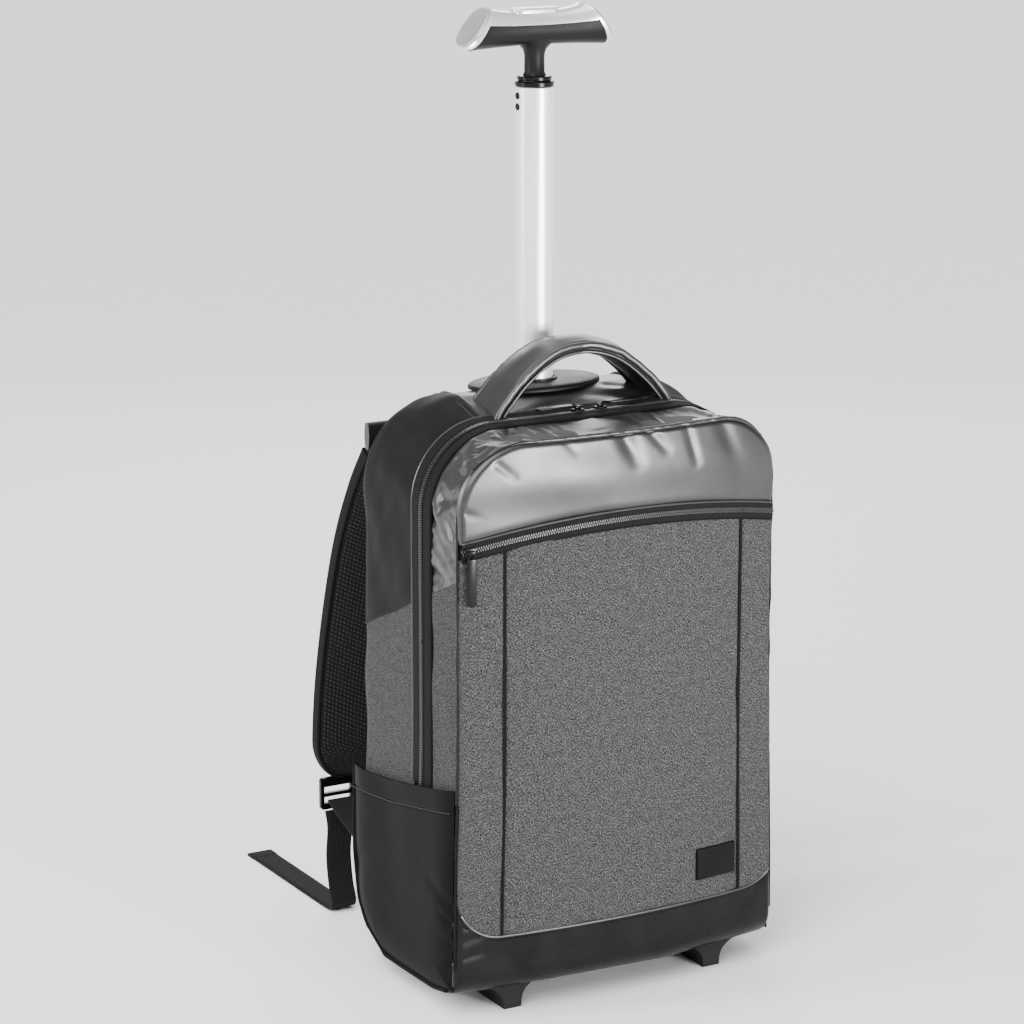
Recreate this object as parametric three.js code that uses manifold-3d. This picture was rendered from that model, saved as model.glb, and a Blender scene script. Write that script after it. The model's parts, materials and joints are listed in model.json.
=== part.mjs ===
// Rolling laptop case: a backpack with a mono-tube trolley, two wheels and two feet.
// Millimetres, +Z up, the front faces -Y, +X is to the right seen from the front, the floor is z = 0.
import * as THREE from "three";
import { mergeVertices } from "three/addons/utils/BufferGeometryUtils.js";
import Module from "manifold-3d";

const wasm = await Module();
wasm.setup();

// Driving dimensions
const GAP = 0.3;
const HALF_W = 153;
const FRONT_Y = -162;
const BACK_Y = 37;
const WALL = 4;
const BOW_R = 777;
const FACE_T = 8;
const FLOOR_TOP_Z = 26;
const ZIP_Y = -80;
const TAPE_HALF = 17;
const TAPE_TOP_Z = 499;
const FOLD_Z = 190;
const CORNER_R = 57;
const SHOULDER_Z = 446;
const ARC_R = 750;
const ARC_TOP_Z = 422.5;
const POCKET_TAPE_HALF = 7;

const MAST_R = 16.5;
const MAST_TUBE_R = 19.4;
const MAST_BORE_R = 17.9;
const MAST_BOTTOM_Z = 330;
const MAST_TOP_Z = 764;
const TUBE_BOTTOM_Z = 62;
const TUBE_TOP_Z = 503;
const GRIP_HALF = 74;
const GRIP_LEAN = 0.65;
const ROD_R = 2.6;
const BUTTON_BOTTOM_Z = 817;
const BUTTON_TOP_Z = 829;

const WHEEL_R = 30;
const WHEEL_W = 22;
const WHEEL_X = 110;
const WHEEL_Y = 32;
const BASE_Y = 0;
const BASE_TOP_Z = 97;
const AXLE_R = 4;

const STRAP_X = 105;
const STRAP_W = 68;
const STRAP_T = 13;
const WEB_W = 25;
const WEB_T = 1.8;

const HANDLE_X = 4;
const HANDLE_Y = -47;
const HANDLE_W = 36;
const HANDLE_SPAN = 74;
const HANDLE_TOP_Z = 549.5;
const HANDLE_CURVE = 0.0056;

const SLIDER_X = -145;
const PIVOT_LIFT = 3.9;

// Materials
const finish = (color, roughness, metalness = 0) => new THREE.MeshStandardMaterial({ color, roughness, metalness });
const melange = finish(0x6a6a6c, 0.95);
const coated = finish(0x3c3c3e, 0.4);
const smooth = finish(0x1c1c1e, 0.7);
const coarse = finish(0x161617, 0.95);
const webbing = finish(0x19191a, 0.9);
const mesh3d = finish(0x1b1b1c, 1.0);
const lining = finish(0x48484b, 0.95);
const plastic = finish(0x1a1a1b, 0.5);
const gloss = finish(0x141415, 0.2);
const silver = finish(0xdadbdd, 0.35, 0.9);
const satin = finish(0xb9babd, 0.3, 0.6);
const steel = finish(0x9a9b9e, 0.35, 1.0);
const tyre = finish(0x121212, 0.85);
const board = finish(0x2c2c2e, 0.7);

const bag = new THREE.Group();

function add(name, geometry, material, position = [0, 0, 0], rotation = [0, 0, 0]) {
  const mesh = new THREE.Mesh(geometry, material);
  mesh.name = name;
  mesh.position.set(...position);
  mesh.rotation.set(...rotation);
  bag.add(mesh);
  return mesh;
}

// Solids to and from manifold
function toSolid(geometry) {
  const plain = geometry.clone();
  plain.deleteAttribute("normal");
  plain.deleteAttribute("uv");
  const merged = mergeVertices(plain, 1e-4);
  const vertProperties = new Float32Array(merged.attributes.position.array);
  const triVerts = new Uint32Array(merged.index.array);
  return new wasm.Manifold(new wasm.Mesh({ numProp: 3, vertProperties, triVerts }));
}

function toGeometry(solid) {
  const result = solid.getMesh();
  const geometry = new THREE.BufferGeometry();
  geometry.setAttribute("position", new THREE.BufferAttribute(new Float32Array(result.vertProperties), 3));
  geometry.setIndex(new THREE.BufferAttribute(new Uint32Array(result.triVerts), 1));
  geometry.computeVertexNormals();
  return geometry;
}

function block([x0, y0, z0], [x1, y1, z1]) {
  const geometry = new THREE.BoxGeometry(x1 - x0, y1 - y0, z1 - z0);
  geometry.translate((x0 + x1) / 2, (y0 + y1) / 2, (z0 + z1) / 2);
  return geometry;
}

const boxSolid = (low, high) => toSolid(block(low, high));

// A rod along X between two places
function rodX(radius, x0, x1, y, z, sides = 20) {
  const geometry = new THREE.CylinderGeometry(radius, radius, x1 - x0, sides);
  geometry.rotateZ(Math.PI / 2);
  geometry.translate((x0 + x1) / 2, y, z);
  return geometry;
}

// An upright rod on the mast's line
function rodZ(radius, z0, z1, sides = 32) {
  const geometry = new THREE.CylinderGeometry(radius, radius, z1 - z0, sides);
  geometry.rotateX(Math.PI / 2);
  geometry.translate(0, 0, (z0 + z1) / 2);
  return toSolid(geometry);
}

// Closed loft of rings that all have the same number of points
function loft(rings) {
  const count = rings[0].length;
  const points = rings.flat();
  const index = [];
  for (let r = 0; r + 1 < rings.length; r++) {
    for (let i = 0; i < count; i++) {
      const a = r * count + i;
      const b = r * count + ((i + 1) % count);
      index.push(a, b, a + count, b, b + count, a + count);
    }
  }
  const cap = (ring, first, flip) => {
    const centre = ring.reduce((sum, p) => sum.clone().add(p), new THREE.Vector3()).divideScalar(count);
    const c = points.push(centre) - 1;
    for (let i = 0; i < count; i++) {
      const a = first + i;
      const b = first + ((i + 1) % count);
      index.push(...(flip ? [c, b, a] : [c, a, b]));
    }
  };
  cap(rings[0], 0, true);
  cap(rings[rings.length - 1], (rings.length - 1) * count, false);
  const geometry = new THREE.BufferGeometry().setFromPoints(points);
  geometry.setIndex(index);
  geometry.computeVertexNormals();
  return outward(geometry);
}

// Turns every face outward, from the sign of the enclosed volume
function outward(geometry) {
  const p = geometry.attributes.position;
  const index = geometry.index.array;
  const [a, b, c] = [new THREE.Vector3(), new THREE.Vector3(), new THREE.Vector3()];
  let volume = 0;
  for (let i = 0; i < index.length; i += 3) {
    a.fromBufferAttribute(p, index[i]);
    b.fromBufferAttribute(p, index[i + 1]);
    c.fromBufferAttribute(p, index[i + 2]);
    volume += a.dot(b.cross(c));
  }
  if (volume < 0) {
    for (let i = 0; i < index.length; i += 3) {
      [index[i], index[i + 1]] = [index[i + 1], index[i]];
    }
    geometry.computeVertexNormals();
  }
  return geometry;
}

// One section of the bag across Y: straight sides, round top corners, small round bottom corners
function section(y, halfW, bottom, top, topR, bottomR) {
  const ring = [];
  const corners = [
    [halfW - bottomR, bottom + bottomR, bottomR, -Math.PI / 2, 2],
    [halfW - topR, top - topR, topR, 0, 6],
    [-halfW + topR, top - topR, topR, Math.PI / 2, 6],
    [-halfW + bottomR, bottom + bottomR, bottomR, Math.PI, 2],
  ];
  for (const [cx, cz, radius, start, steps] of corners) {
    for (let i = 0; i <= steps; i++) {
      const angle = start + (i / steps) * (Math.PI / 2);
      ring.push(new THREE.Vector3(cx + radius * Math.cos(angle), y, cz + radius * Math.sin(angle)));
    }
  }
  return ring;
}

// The bag's shell: a loft along Y with a round back top, and a front that bows out across X.
// Each station is [y, narrowing of the half width, bottom z, top z].
const STATIONS = [
  [FRONT_Y, 12, 27, 493],
  [-158, 10, 25, 493.4],
  [-150, 6, 22.5, 494.2],
  [-145, 2.2, 21.3, 494.8],
  [-138, 0.5, 20.3, 495.6],
  [-130, 0, 20, 496.3],
  [ZIP_Y, 0, 20, TAPE_TOP_Z],
  [-50, 0, 20, 504],
  [-20, 0, 20, 508],
  [6, 0, 20, 507],
  [22, 0.5, 21, 499],
  [31, 3, 24, 486],
  [BACK_Y, 8, 32, 466],
];
const INNER_STATIONS = [...STATIONS.slice(0, 11), [BACK_Y - WALL, 5, 28, 476]];

const shellLoft = (stations, inset) =>
  loft(
    stations.map(([y, narrow, bottom, top]) =>
      section(y, HALF_W - narrow - inset, bottom + inset, top - inset, CORNER_R - narrow / 2 - inset, 12 - inset),
    ),
  );

// Upright drum that gives the front its bow, a depth behind the front face
function bow(depth) {
  const geometry = new THREE.CylinderGeometry(BOW_R - depth, BOW_R - depth, 700, 160);
  geometry.rotateX(Math.PI / 2);
  geometry.translate(0, FRONT_Y + BOW_R, 300);
  return toSolid(geometry);
}

const outer = toSolid(shellLoft(STATIONS, 0)).intersect(bow(0));
const shell = outer.subtract(toSolid(shellLoft(INNER_STATIONS, WALL)).intersect(bow(FACE_T + WALL)));
const body = shell.intersect(bow(FACE_T));
const face = shell.subtract(bow(FACE_T - GAP));
const part = (low, high, from = body) => from.intersect(boxSolid(low, high));
const far = HALF_W + 20;

// Height of the front pocket's zip at x
const zipZ = (x) => ARC_TOP_Z - (x * x) / (2 * ARC_R);

// A cutter that follows the pocket zip, from lift a to lift b above it
function arcBand(a, b) {
  const steps = 14;
  const xs = Array.from({ length: steps + 1 }, (_, i) => -far + (2 * far * i) / steps);
  const outline = [...xs.map((x) => [x, zipZ(x) + a]), ...xs.reverse().map((x) => [x, zipZ(x) + b])];
  const shape = new THREE.Shape(outline.map(([x, z]) => new THREE.Vector2(x, z)));
  const geometry = new THREE.ExtrudeGeometry(shape, { depth: 30, bevelEnabled: false });
  geometry.rotateX(Math.PI / 2);
  geometry.translate(0, FRONT_Y + 29, 0);
  return toSolid(geometry);
}

// Fixed fabric panels of the body
function buildPanels() {
  const rear = ZIP_Y + TAPE_HALF + GAP;
  const backFace = 22;
  const base = boxSolid([-far, BASE_Y - GAP, 0], [far, BACK_Y + 9, BASE_TOP_Z + GAP]);
  const side = part([-far, rear, FLOOR_TOP_Z + GAP], [-HALF_W + 14, backFace - GAP, SHOULDER_Z]).subtract(base);
  add("side_panel_left", toGeometry(side), melange);
  add("side_panel_right", toGeometry(side.mirror([1, 0, 0])), melange);
  const top = part([-far, rear, SHOULDER_Z + GAP], [far, backFace - GAP, 600]);
  add("top_panel", toGeometry(top.subtract(rodZ(MAST_TUBE_R + 2, 480, 530))), smooth);
  add("back_panel", toGeometry(part([-far, backFace, BASE_TOP_Z + 2 * GAP], [far, 60, 600])), mesh3d);
  add("bottom_panel", toGeometry(part([-far, FRONT_Y, 0], [far, BASE_Y - 2 * GAP, FLOOR_TOP_Z])), coarse);
  const lower = part([-far, FRONT_Y, FLOOR_TOP_Z + GAP], [far, rear - GAP, FOLD_Z - GAP]);
  add("lower_front_section", toGeometry(lower), melange);
  add("main_zip_tape_rear", toGeometry(part([-far, ZIP_Y + 0.2, FOLD_Z], [far, rear - GAP, 600])), webbing);
  add("front_pocket_lower", toGeometry(part([-far, -200, 0], [far, 0, FOLD_Z - GAP], face)), melange);
}

// Front section that folds open below the main zip, with the pocket on it
function buildFlap() {
  const front = ZIP_Y - TAPE_HALF;
  add("front_section", toGeometry(part([-far, FRONT_Y, FOLD_Z], [far, front - GAP, 600])), smooth);
  add("main_zip_tape_front", toGeometry(part([-far, front, FOLD_Z], [far, ZIP_Y - 0.2, 600])), webbing);
  const upper = part([-far, -200, FOLD_Z], [far, 0, 600], face);
  const lift = POCKET_TAPE_HALF + GAP;
  add("front_pocket_upper", toGeometry(upper.intersect(arcBand(-400, -lift))), melange);
  add("pocket_zip_tape", toGeometry(upper.intersect(arcBand(-POCKET_TAPE_HALF, POCKET_TAPE_HALF))), webbing);
  add("front_yoke", toGeometry(upper.intersect(arcBand(lift, 300))), coated);
}

// Round-cornered plate in the XZ plane, depth along +Y from y
function plateXZ(x0, x1, z0, z1, radius, y, depth) {
  const shape = roundRect(x0, z0, x1, z1, radius);
  const geometry = new THREE.ExtrudeGeometry(shape, { depth, bevelEnabled: false, curveSegments: 4 });
  geometry.rotateX(Math.PI / 2);
  geometry.translate(0, y + depth, 0);
  return geometry;
}

function roundRect(x0, y0, x1, y1, r) {
  const shape = new THREE.Shape();
  shape.moveTo(x0 + r, y0);
  shape.lineTo(x1 - r, y0);
  shape.absarc(x1 - r, y0 + r, r, -Math.PI / 2, 0, false);
  shape.lineTo(x1, y1 - r);
  shape.absarc(x1 - r, y1 - r, r, 0, Math.PI / 2, false);
  shape.lineTo(x0 + r, y1);
  shape.absarc(x0 + r, y1 - r, r, Math.PI / 2, Math.PI, false);
  shape.lineTo(x0, y0 + r);
  shape.absarc(x0 + r, y0 + r, r, Math.PI, 1.5 * Math.PI, false);
  return shape;
}

// Pouch on each side, open at the top, whose mouth rises towards the front
function buildSidePockets() {
  const wall = 1.4;
  const [inner, outerX] = [HALF_W + GAP, HALF_W + 8];
  const [y0, y1] = [-140, 42];
  const outline = new THREE.Shape([
    [y0, 24],
    [-108, 19],
    [-50, 18],
    [-8, 26],
    [17, 37],
    [31, 56],
    [39, 97],
    [y1, 176],
    [-34, 181],
    [y0, 203],
  ].map(([y, z]) => new THREE.Vector2(y, z)));
  const sheet = new THREE.ExtrudeGeometry(outline, { depth: outerX - inner, bevelEnabled: false });
  sheet.applyMatrix4(new THREE.Matrix4().set(0, 0, 1, inner, 1, 0, 0, 0, 0, 1, 0, 0, 0, 0, 0, 1));
  const room = boxSolid([inner + wall, y0 + 4, 40], [outerX - wall, 24, 400]);
  const pouch = toSolid(outward(indexed(sheet))).subtract(room);
  add("side_pocket_right", toGeometry(pouch), smooth);
  add("side_pocket_left", toGeometry(pouch.mirror([1, 0, 0])), smooth);
}

const indexed = (geometry) => (geometry.index ? geometry : mergeVertices(stripped(geometry), 1e-4));

function stripped(geometry) {
  const plain = geometry.clone();
  plain.deleteAttribute("normal");
  plain.deleteAttribute("uv");
  return plain;
}

// Boards and sleeve inside the main compartment
function buildInside() {
  add("frame_board", plateXZ(-140, 140, 34, 470, 40, -27, 2.4), board);
  add("base_board", block([-138, -130, 24 + GAP], [138, -29, 26.6]), board);
  const shellBox = boxSolid([-132, -58, 30], [132, -28, 330]);
  const room = boxSolid([-129, -54, 34], [129, -31, 400]);
  add("laptop_sleeve", toGeometry(shellBox.subtract(room)), lining);
}

// Moulded base with a housing over each wheel
function buildBase() {
  const shape = outer.intersect(boxSolid([-far, BASE_Y, 0], [far, BACK_Y + 9, BASE_TOP_Z]));
  const edge = HALF_W - 4;
  let room = boxSolid([-edge + 4, -5, 26], [edge - 4, BACK_Y - 4, 200]);
  let wells = null;
  for (const side of [-1, 1]) {
    const x0 = side * WHEEL_X - WHEEL_W / 2;
    const x1 = side * WHEEL_X + WHEEL_W / 2;
    room = room.subtract(toSolid(rodX(WHEEL_R + 7, x0 - 7, x1 + 7, WHEEL_Y, WHEEL_R, 28)));
    const well = toSolid(rodX(WHEEL_R + 3.5, x0 - 3.2, x1 + 3.2, WHEEL_Y, WHEEL_R, 28));
    const bore = toSolid(rodX(AXLE_R + GAP, x0 - 8, x1 + 8, WHEEL_Y, WHEEL_R, 20));
    wells = wells ? wells.add(well).add(bore) : well.add(bore);
  }
  add("wheel_base", toGeometry(shape.subtract(room).subtract(wells)), plastic);
}

// Lathe about X, from a profile of [x, radius] that starts and ends on the axis or closes on itself
function latheX(profile, x, y, z, segments = 28) {
  const geometry = new THREE.LatheGeometry(
    profile.map(([u, r]) => new THREE.Vector2(r, u)),
    segments,
  );
  geometry.rotateZ(-Math.PI / 2);
  geometry.translate(x, y, z);
  return geometry;
}

function buildWheels() {
  const half = WHEEL_W / 2;
  const tyreProfile = [
    [-half, 24],
    [-half, 27.5],
    [-half + 3, WHEEL_R],
    [half - 3, WHEEL_R],
    [half, 27.5],
    [half, 24],
    [half - 3, 23],
    [-half + 3, 23],
    [-half, 24],
  ];
  const hubProfile = [
    [-half, AXLE_R + GAP],
    [-half, 9],
    [-half + 3, 10],
    [-half + 3, 22.7],
    [half - 3, 22.7],
    [half - 3, 10],
    [half, 9],
    [half, AXLE_R + GAP],
    [-half, AXLE_R + GAP],
  ];
  for (const [name, side] of [["left", -1], ["right", 1]]) {
    const x = side * WHEEL_X;
    add(`tyre_${name}`, latheX(tyreProfile, x, WHEEL_Y, WHEEL_R), tyre);
    add(`wheel_hub_${name}`, latheX(hubProfile, x, WHEEL_Y, WHEEL_R), plastic);
    add(`axle_${name}`, rodX(AXLE_R, x - half - 7.5, x + half + 7.5, WHEEL_Y, WHEEL_R), steel);
  }
}

// Trapezoid foot with hollowed flanks
function buildFeet() {
  const shape = new THREE.Shape();
  shape.moveTo(-8.5, 0);
  shape.lineTo(8.5, 0);
  shape.quadraticCurveTo(11, 14, 26, 19.7);
  shape.lineTo(-26, 19.7);
  shape.quadraticCurveTo(-11, 14, -8.5, 0);
  for (const [name, side] of [["left", -1], ["right", 1]]) {
    const geometry = new THREE.ExtrudeGeometry(shape, { depth: 42, bevelEnabled: false, curveSegments: 5 });
    geometry.rotateX(Math.PI / 2);
    add(`foot_${name}`, geometry, plastic, [side * 100, -80, 0]);
  }
}

// Lathe about Z, from a profile of [radius, z]
function latheZ(profile, segments = 32) {
  const geometry = new THREE.LatheGeometry(profile.map(([r, z]) => new THREE.Vector2(r, z)), segments);
  geometry.rotateX(Math.PI / 2);
  return geometry;
}

function ringZ(inner, outerR, z0, z1, segments = 32) {
  return latheZ([[inner, z0], [outerR, z0], [outerR, z1], [inner, z1], [inner, z0]], segments);
}

// Outer tube in the bag, its foot block and the collar plate on top
function buildMastHousing() {
  add("mast_outer_tube", ringZ(MAST_BORE_R, MAST_TUBE_R, TUBE_BOTTOM_Z, TUBE_TOP_Z), silver);
  const foot = boxSolid([-34, -21, 26 + GAP], [34, 32, TUBE_BOTTOM_Z - GAP]);
  add("mast_foot_block", toGeometry(foot.subtract(boxSolid([-26, -30, 34], [26, 40, 54]))), plastic);
  const plate = new THREE.CylinderGeometry(1, 1, 1, 40);
  plate.rotateX(Math.PI / 2);
  plate.scale(62, 38, 4);
  plate.translate(0, 0, 510.6);
  add("mast_collar", toGeometry(toSolid(plate).subtract(rodZ(MAST_BORE_R, 500, 520))), plastic);
}

// Sliding tube with its cap and neck
function buildMast() {
  add("mast_tube", ringZ(MAST_R - 1.6, MAST_R, MAST_BOTTOM_Z, MAST_TOP_Z), silver);
  const bore = ROD_R + 0.6;
  const cap = [
    [bore, MAST_TOP_Z + GAP],
    [MAST_R + 0.1, MAST_TOP_Z + GAP],
    [MAST_R + 0.1, MAST_TOP_Z + 4.5],
    [14.6, MAST_TOP_Z + 5],
    [14.6, MAST_TOP_Z + 9],
    [9, MAST_TOP_Z + 9.3],
    [bore, MAST_TOP_Z + 9.3],
    [bore, MAST_TOP_Z + GAP],
  ];
  add("mast_cap", latheZ(cap), gloss);
  for (const [name, z] of [["upper", 756.6], ["lower", 747.3]]) {
    const plug = new THREE.CylinderGeometry(3.2, 3.2, 0.8, 16);
    plug.rotateZ(Math.PI / 2);
    add(`mast_plug_${name}`, plug, gloss, [-MAST_R - 0.7, 0, z]);
  }
}

// Grip section across X, leaning inward at the top: half depth and bottom and top heights at x
function gripRing(x, depth, low, high, lean, steps = 14) {
  const ring = [];
  for (let i = 0; i < steps; i++) {
    const a = (2 * Math.PI * (i + 0.5)) / steps;
    const c = Math.sign(Math.cos(a)) * Math.abs(Math.cos(a)) ** 0.75;
    const s = Math.sign(Math.sin(a)) * Math.abs(Math.sin(a)) ** 0.75;
    const rise = ((high - low) / 2) * (1 + s);
    ring.push(new THREE.Vector3(x - Math.sign(x) * lean * rise, depth * c, low + rise));
  }
  return ring;
}

// T-grip: upper shell, lower insert with the neck, end caps and the button on top
function buildGrip() {
  const xs = [-70, -58, -40, -20, 0, 20, 40, 58, 70];
  const spread = (x) => Math.abs(x) / GRIP_HALF;
  const top = (x) => 825 + 6 * spread(x) ** 2;
  const low = (x) => 803 - 2.5 * spread(x) ** 2;
  const lean = (x) => GRIP_LEAN * (x / xs[0]) ** 2;
  const whole = toSolid(loft(xs.map((x) => gripRing(x, 13 + 4 * spread(x) ** 2, low(x), top(x), lean(x)))));
  const split = 812;
  const seat = boxSolid([-22.4, -8.4, 813.5], [22.4, 8.4, 840]);
  const rodBore = rodZ(ROD_R + 0.6, 760, 840, 16);
  const upper = whole.intersect(boxSolid([-90, -30, split + GAP], [90, 30, 850])).subtract(seat);
  add("grip_shell", toGeometry(upper.subtract(rodBore)), satin);
  const neckTop = 806;
  const neck = latheZ(
    [
      [0, MAST_TOP_Z + 9.6],
      [8.5, MAST_TOP_Z + 9.6],
      [8.5, 789],
      [10, 796],
      [14, 802],
      [14, neckTop],
      [0, neckTop],
    ],
    24,
  );
  const lower = whole.intersect(boxSolid([-90, -30, 790], [90, 30, split]));
  add("grip_insert", toGeometry(lower.add(toSolid(neck)).subtract(rodBore)), plastic);
  for (const [name, side] of [["left", -1], ["right", 1]]) {
    const rings = [
      gripRing(side * 70.4, 17.2, 800.5, 831, GRIP_LEAN),
      gripRing(side * 72.6, 16.6, 801.5, 830.5, GRIP_LEAN),
      gripRing(side * GRIP_HALF, 13, 804.5, 827, GRIP_LEAN),
    ];
    add(`grip_cap_${name}`, loft(rings), satin);
  }
  add("release_button", plateRound(-22, 22, -8, 8, 8, BUTTON_BOTTOM_Z, BUTTON_TOP_Z), satin);
  add("release_rod", toGeometry(rodZ(ROD_R, MAST_BOTTOM_Z + 5, BUTTON_BOTTOM_Z - GAP, 12)), steel);
}

// Round-ended plate in the XY plane from z0 to z1
function plateRound(x0, x1, y0, y1, radius, z0, z1) {
  const geometry = new THREE.ExtrudeGeometry(roundRect(x0, y0, x1, y1, radius - 0.01), {
    depth: z1 - z0,
    bevelEnabled: false,
    curveSegments: 6,
  });
  geometry.translate(0, 0, z0);
  return geometry;
}

// A strap of the given width across X that follows a route in the YZ plane
function strapAlong(route, x, width, thickness, round = 0) {
  const curve = new THREE.CatmullRomCurve3(route.map(([y, z]) => new THREE.Vector3(0, y, z)), false, "centripetal");
  return ribbon(curve.getSpacedPoints(route.length * 3), new THREE.Vector3(1, 0, 0), x, width, thickness, round);
}

// Sweeps a rectangle along points, with its width held along one direction
function ribbon(points, across, offset, width, thickness, round) {
  const rings = points.map((p, i) => {
    const before = points[Math.max(0, i - 1)];
    const after = points[Math.min(points.length - 1, i + 1)];
    const normal = after.clone().sub(before).normalize().cross(across).normalize();
    const end = Math.min(i, points.length - 1 - i);
    const narrow = end === 0 ? round : 0;
    const half = width / 2 - narrow;
    const centre = p.clone().addScaledVector(across, offset);
    return [[-1, -1], [1, -1], [1, 1], [-1, 1]].map(([u, v]) =>
      centre.clone().addScaledVector(across, u * half).addScaledVector(normal, (v * thickness) / 2),
    );
  });
  return loft(rings);
}

// Padded carry handle: an arch along X in front of the collar
function buildHandle() {
  const points = [];
  const steps = 16;
  for (let i = 0; i <= steps; i++) {
    const x = HANDLE_SPAN * ((2 * i) / steps - 1);
    points.push(new THREE.Vector3(HANDLE_X + x, HANDLE_Y, HANDLE_TOP_Z - HANDLE_CURVE * x * x));
  }
  add("carry_handle", ribbon(points, new THREE.Vector3(0, 1, 0), 0, HANDLE_W, 11, 0), coated);
}

// Shoulder straps with their buckles and webbing
const STRAP_ROUTE = [[48, 452], [75, 415], [104, 361], [127, 296], [145, 226], [153, 170], [154, 128]];
const FIXED_WEB_ROUTE = [[46, 78], [84, 84], [122, 96], [147, 107]];
const TAIL_ROUTE = [[152.5, 95.5], [148, 80], [151, 52], [147, 26], [141, 10], [146, 3], [160, 1.5], [200, 1.3], [322, 1.2]];

function buckleSolid() {
  const shape = roundRect(-17, -15, 17, 15, 3);
  for (const z of [-9, 0.5]) {
    shape.holes.push(new THREE.Path([[-13.5, z], [13.5, z], [13.5, z + 6], [-13.5, z + 6]].map(([u, v]) => new THREE.Vector2(u, v))));
  }
  const geometry = new THREE.ExtrudeGeometry(shape, { depth: 4, bevelEnabled: false, curveSegments: 3 });
  geometry.rotateX(Math.PI / 2);
  return geometry;
}

function buildStraps() {
  for (const [name, side] of [["left", -1], ["right", 1]]) {
    const x = side * STRAP_X;
    const webX = side * (STRAP_X + 14);
    add(`strap_pad_${name}`, strapAlong(STRAP_ROUTE, x, STRAP_W, STRAP_T, 12), mesh3d);
    add(`ladder_lock_${name}`, buckleSolid(), gloss, [webX, 155, 112]);
    add(`strap_webbing_${name}`, strapAlong(FIXED_WEB_ROUTE, webX, WEB_W, WEB_T), webbing);
    add(`strap_tail_${name}`, strapAlong(TAIL_ROUTE, webX, WEB_W, WEB_T), webbing);
    const tab = new THREE.Shape([[-17, -26], [17, -26], [14, 16], [-14, 16]].map(([u, v]) => new THREE.Vector2(u, v)));
    const tabGeometry = new THREE.ExtrudeGeometry(tab, { depth: 3, bevelEnabled: false });
    tabGeometry.rotateX(Math.PI / 2);
    add(`strap_tab_${name}`, tabGeometry, coarse, [webX, BACK_Y + 4, 104]);
  }
  add("strap_yoke", plateXZ(-142, 142, 456, 480, 8, BACK_Y + 1, 8), coated);
}

// Zip puller along +X from its pivot at the origin, forked round the slider's bridge
function forkedPuller(length, halfWidth, slot) {
  const plate = toSolid(plateRound(-1.2, length, -halfWidth, halfWidth, 1.1, -1.2, 1.2));
  return toGeometry(plate.subtract(boxSolid([-2, -slot, -2], [3.4, slot, 2])));
}

// Zip slider with its bottom on the XY plane: a flat body under the bridge that holds the puller
function bridgedSlider(bridge) {
  const body = boxSolid([-5, -5, 0], [5, 5, 2]);
  return toGeometry(body.add(boxSolid([-bridge, -0.9, 1.5], [bridge, 0.9, 5.4])));
}

// Main zip's two sliders with their pullers
function buildSliders() {
  const topZ = TAPE_TOP_Z + 1.4;
  for (const [name, x, way] of [["left", -3, -1], ["right", 19, 1]]) {
    add(`zip_slider_${name}`, bridgedSlider(2.5), gloss, [x, ZIP_Y, topZ]);
    const turned = [0, 0, way < 0 ? Math.PI : 0];
    add(`zip_puller_${name}`, forkedPuller(43.6, 4, 1.2), gloss, [x, ZIP_Y, topZ + PIVOT_LIFT], turned);
  }
  buildPocketSlider();
}

// The pocket zip runs on one tilted circle, because the front bows out and the zip arches up.
// Its slider is made at the middle of the front and turned back along that circle.
function buildPocketSlider() {
  const radius = 1 / Math.hypot(1 / BOW_R, 1 / ARC_R);
  const back = new THREE.Vector3(0, radius / BOW_R, -radius / ARC_R);
  const axis = new THREE.Vector3(1, 0, 0).cross(back).normalize();
  const centre = new THREE.Vector3(0, FRONT_Y, ARC_TOP_Z).addScaledVector(back, radius);
  const turn = Math.asin(SLIDER_X / radius);
  const place = (geometry) => {
    geometry.translate(-centre.x, -centre.y, -centre.z);
    geometry.applyMatrix4(new THREE.Matrix4().makeRotationAxis(axis, turn));
    geometry.translate(centre.x, centre.y, centre.z);
    return geometry;
  };
  const y = FRONT_Y - 1;
  const slider = bridgedSlider(1.6).rotateX(Math.PI / 2).rotateY(Math.PI / 2);
  add("pocket_zip_slider", place(slider.translate(0, y, ARC_TOP_Z)), gloss);
  const puller = forkedPuller(43, 4.5, 1.5).rotateX(Math.PI / 2).rotateY(Math.PI / 2 - turn * (radius / ARC_R));
  puller.translate(0, y - PIVOT_LIFT, ARC_TOP_Z);
  add("pocket_zip_puller", place(puller), gloss);
}

// Blank patch near the lower right corner of the front
function buildLabel() {
  const x = 89;
  const yaw = Math.asin(x / BOW_R);
  const y = FRONT_Y + BOW_R - Math.cos(yaw) * (BOW_R + GAP);
  add("label_patch", plateXZ(-21, 21, 91, 119, 3, -1.5, 1.2), gloss, [x, y, 0], [0, 0, yaw]);
}

buildPanels();
buildFlap();
buildSidePockets();
buildInside();
buildBase();
buildWheels();
buildFeet();
buildMastHousing();
buildMast();
buildGrip();
buildHandle();
buildStraps();
buildSliders();
buildLabel();

export default bag;
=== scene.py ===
import json
import math

import bmesh
import bpy
import numpy as np
from mathutils import Matrix, Vector


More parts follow.
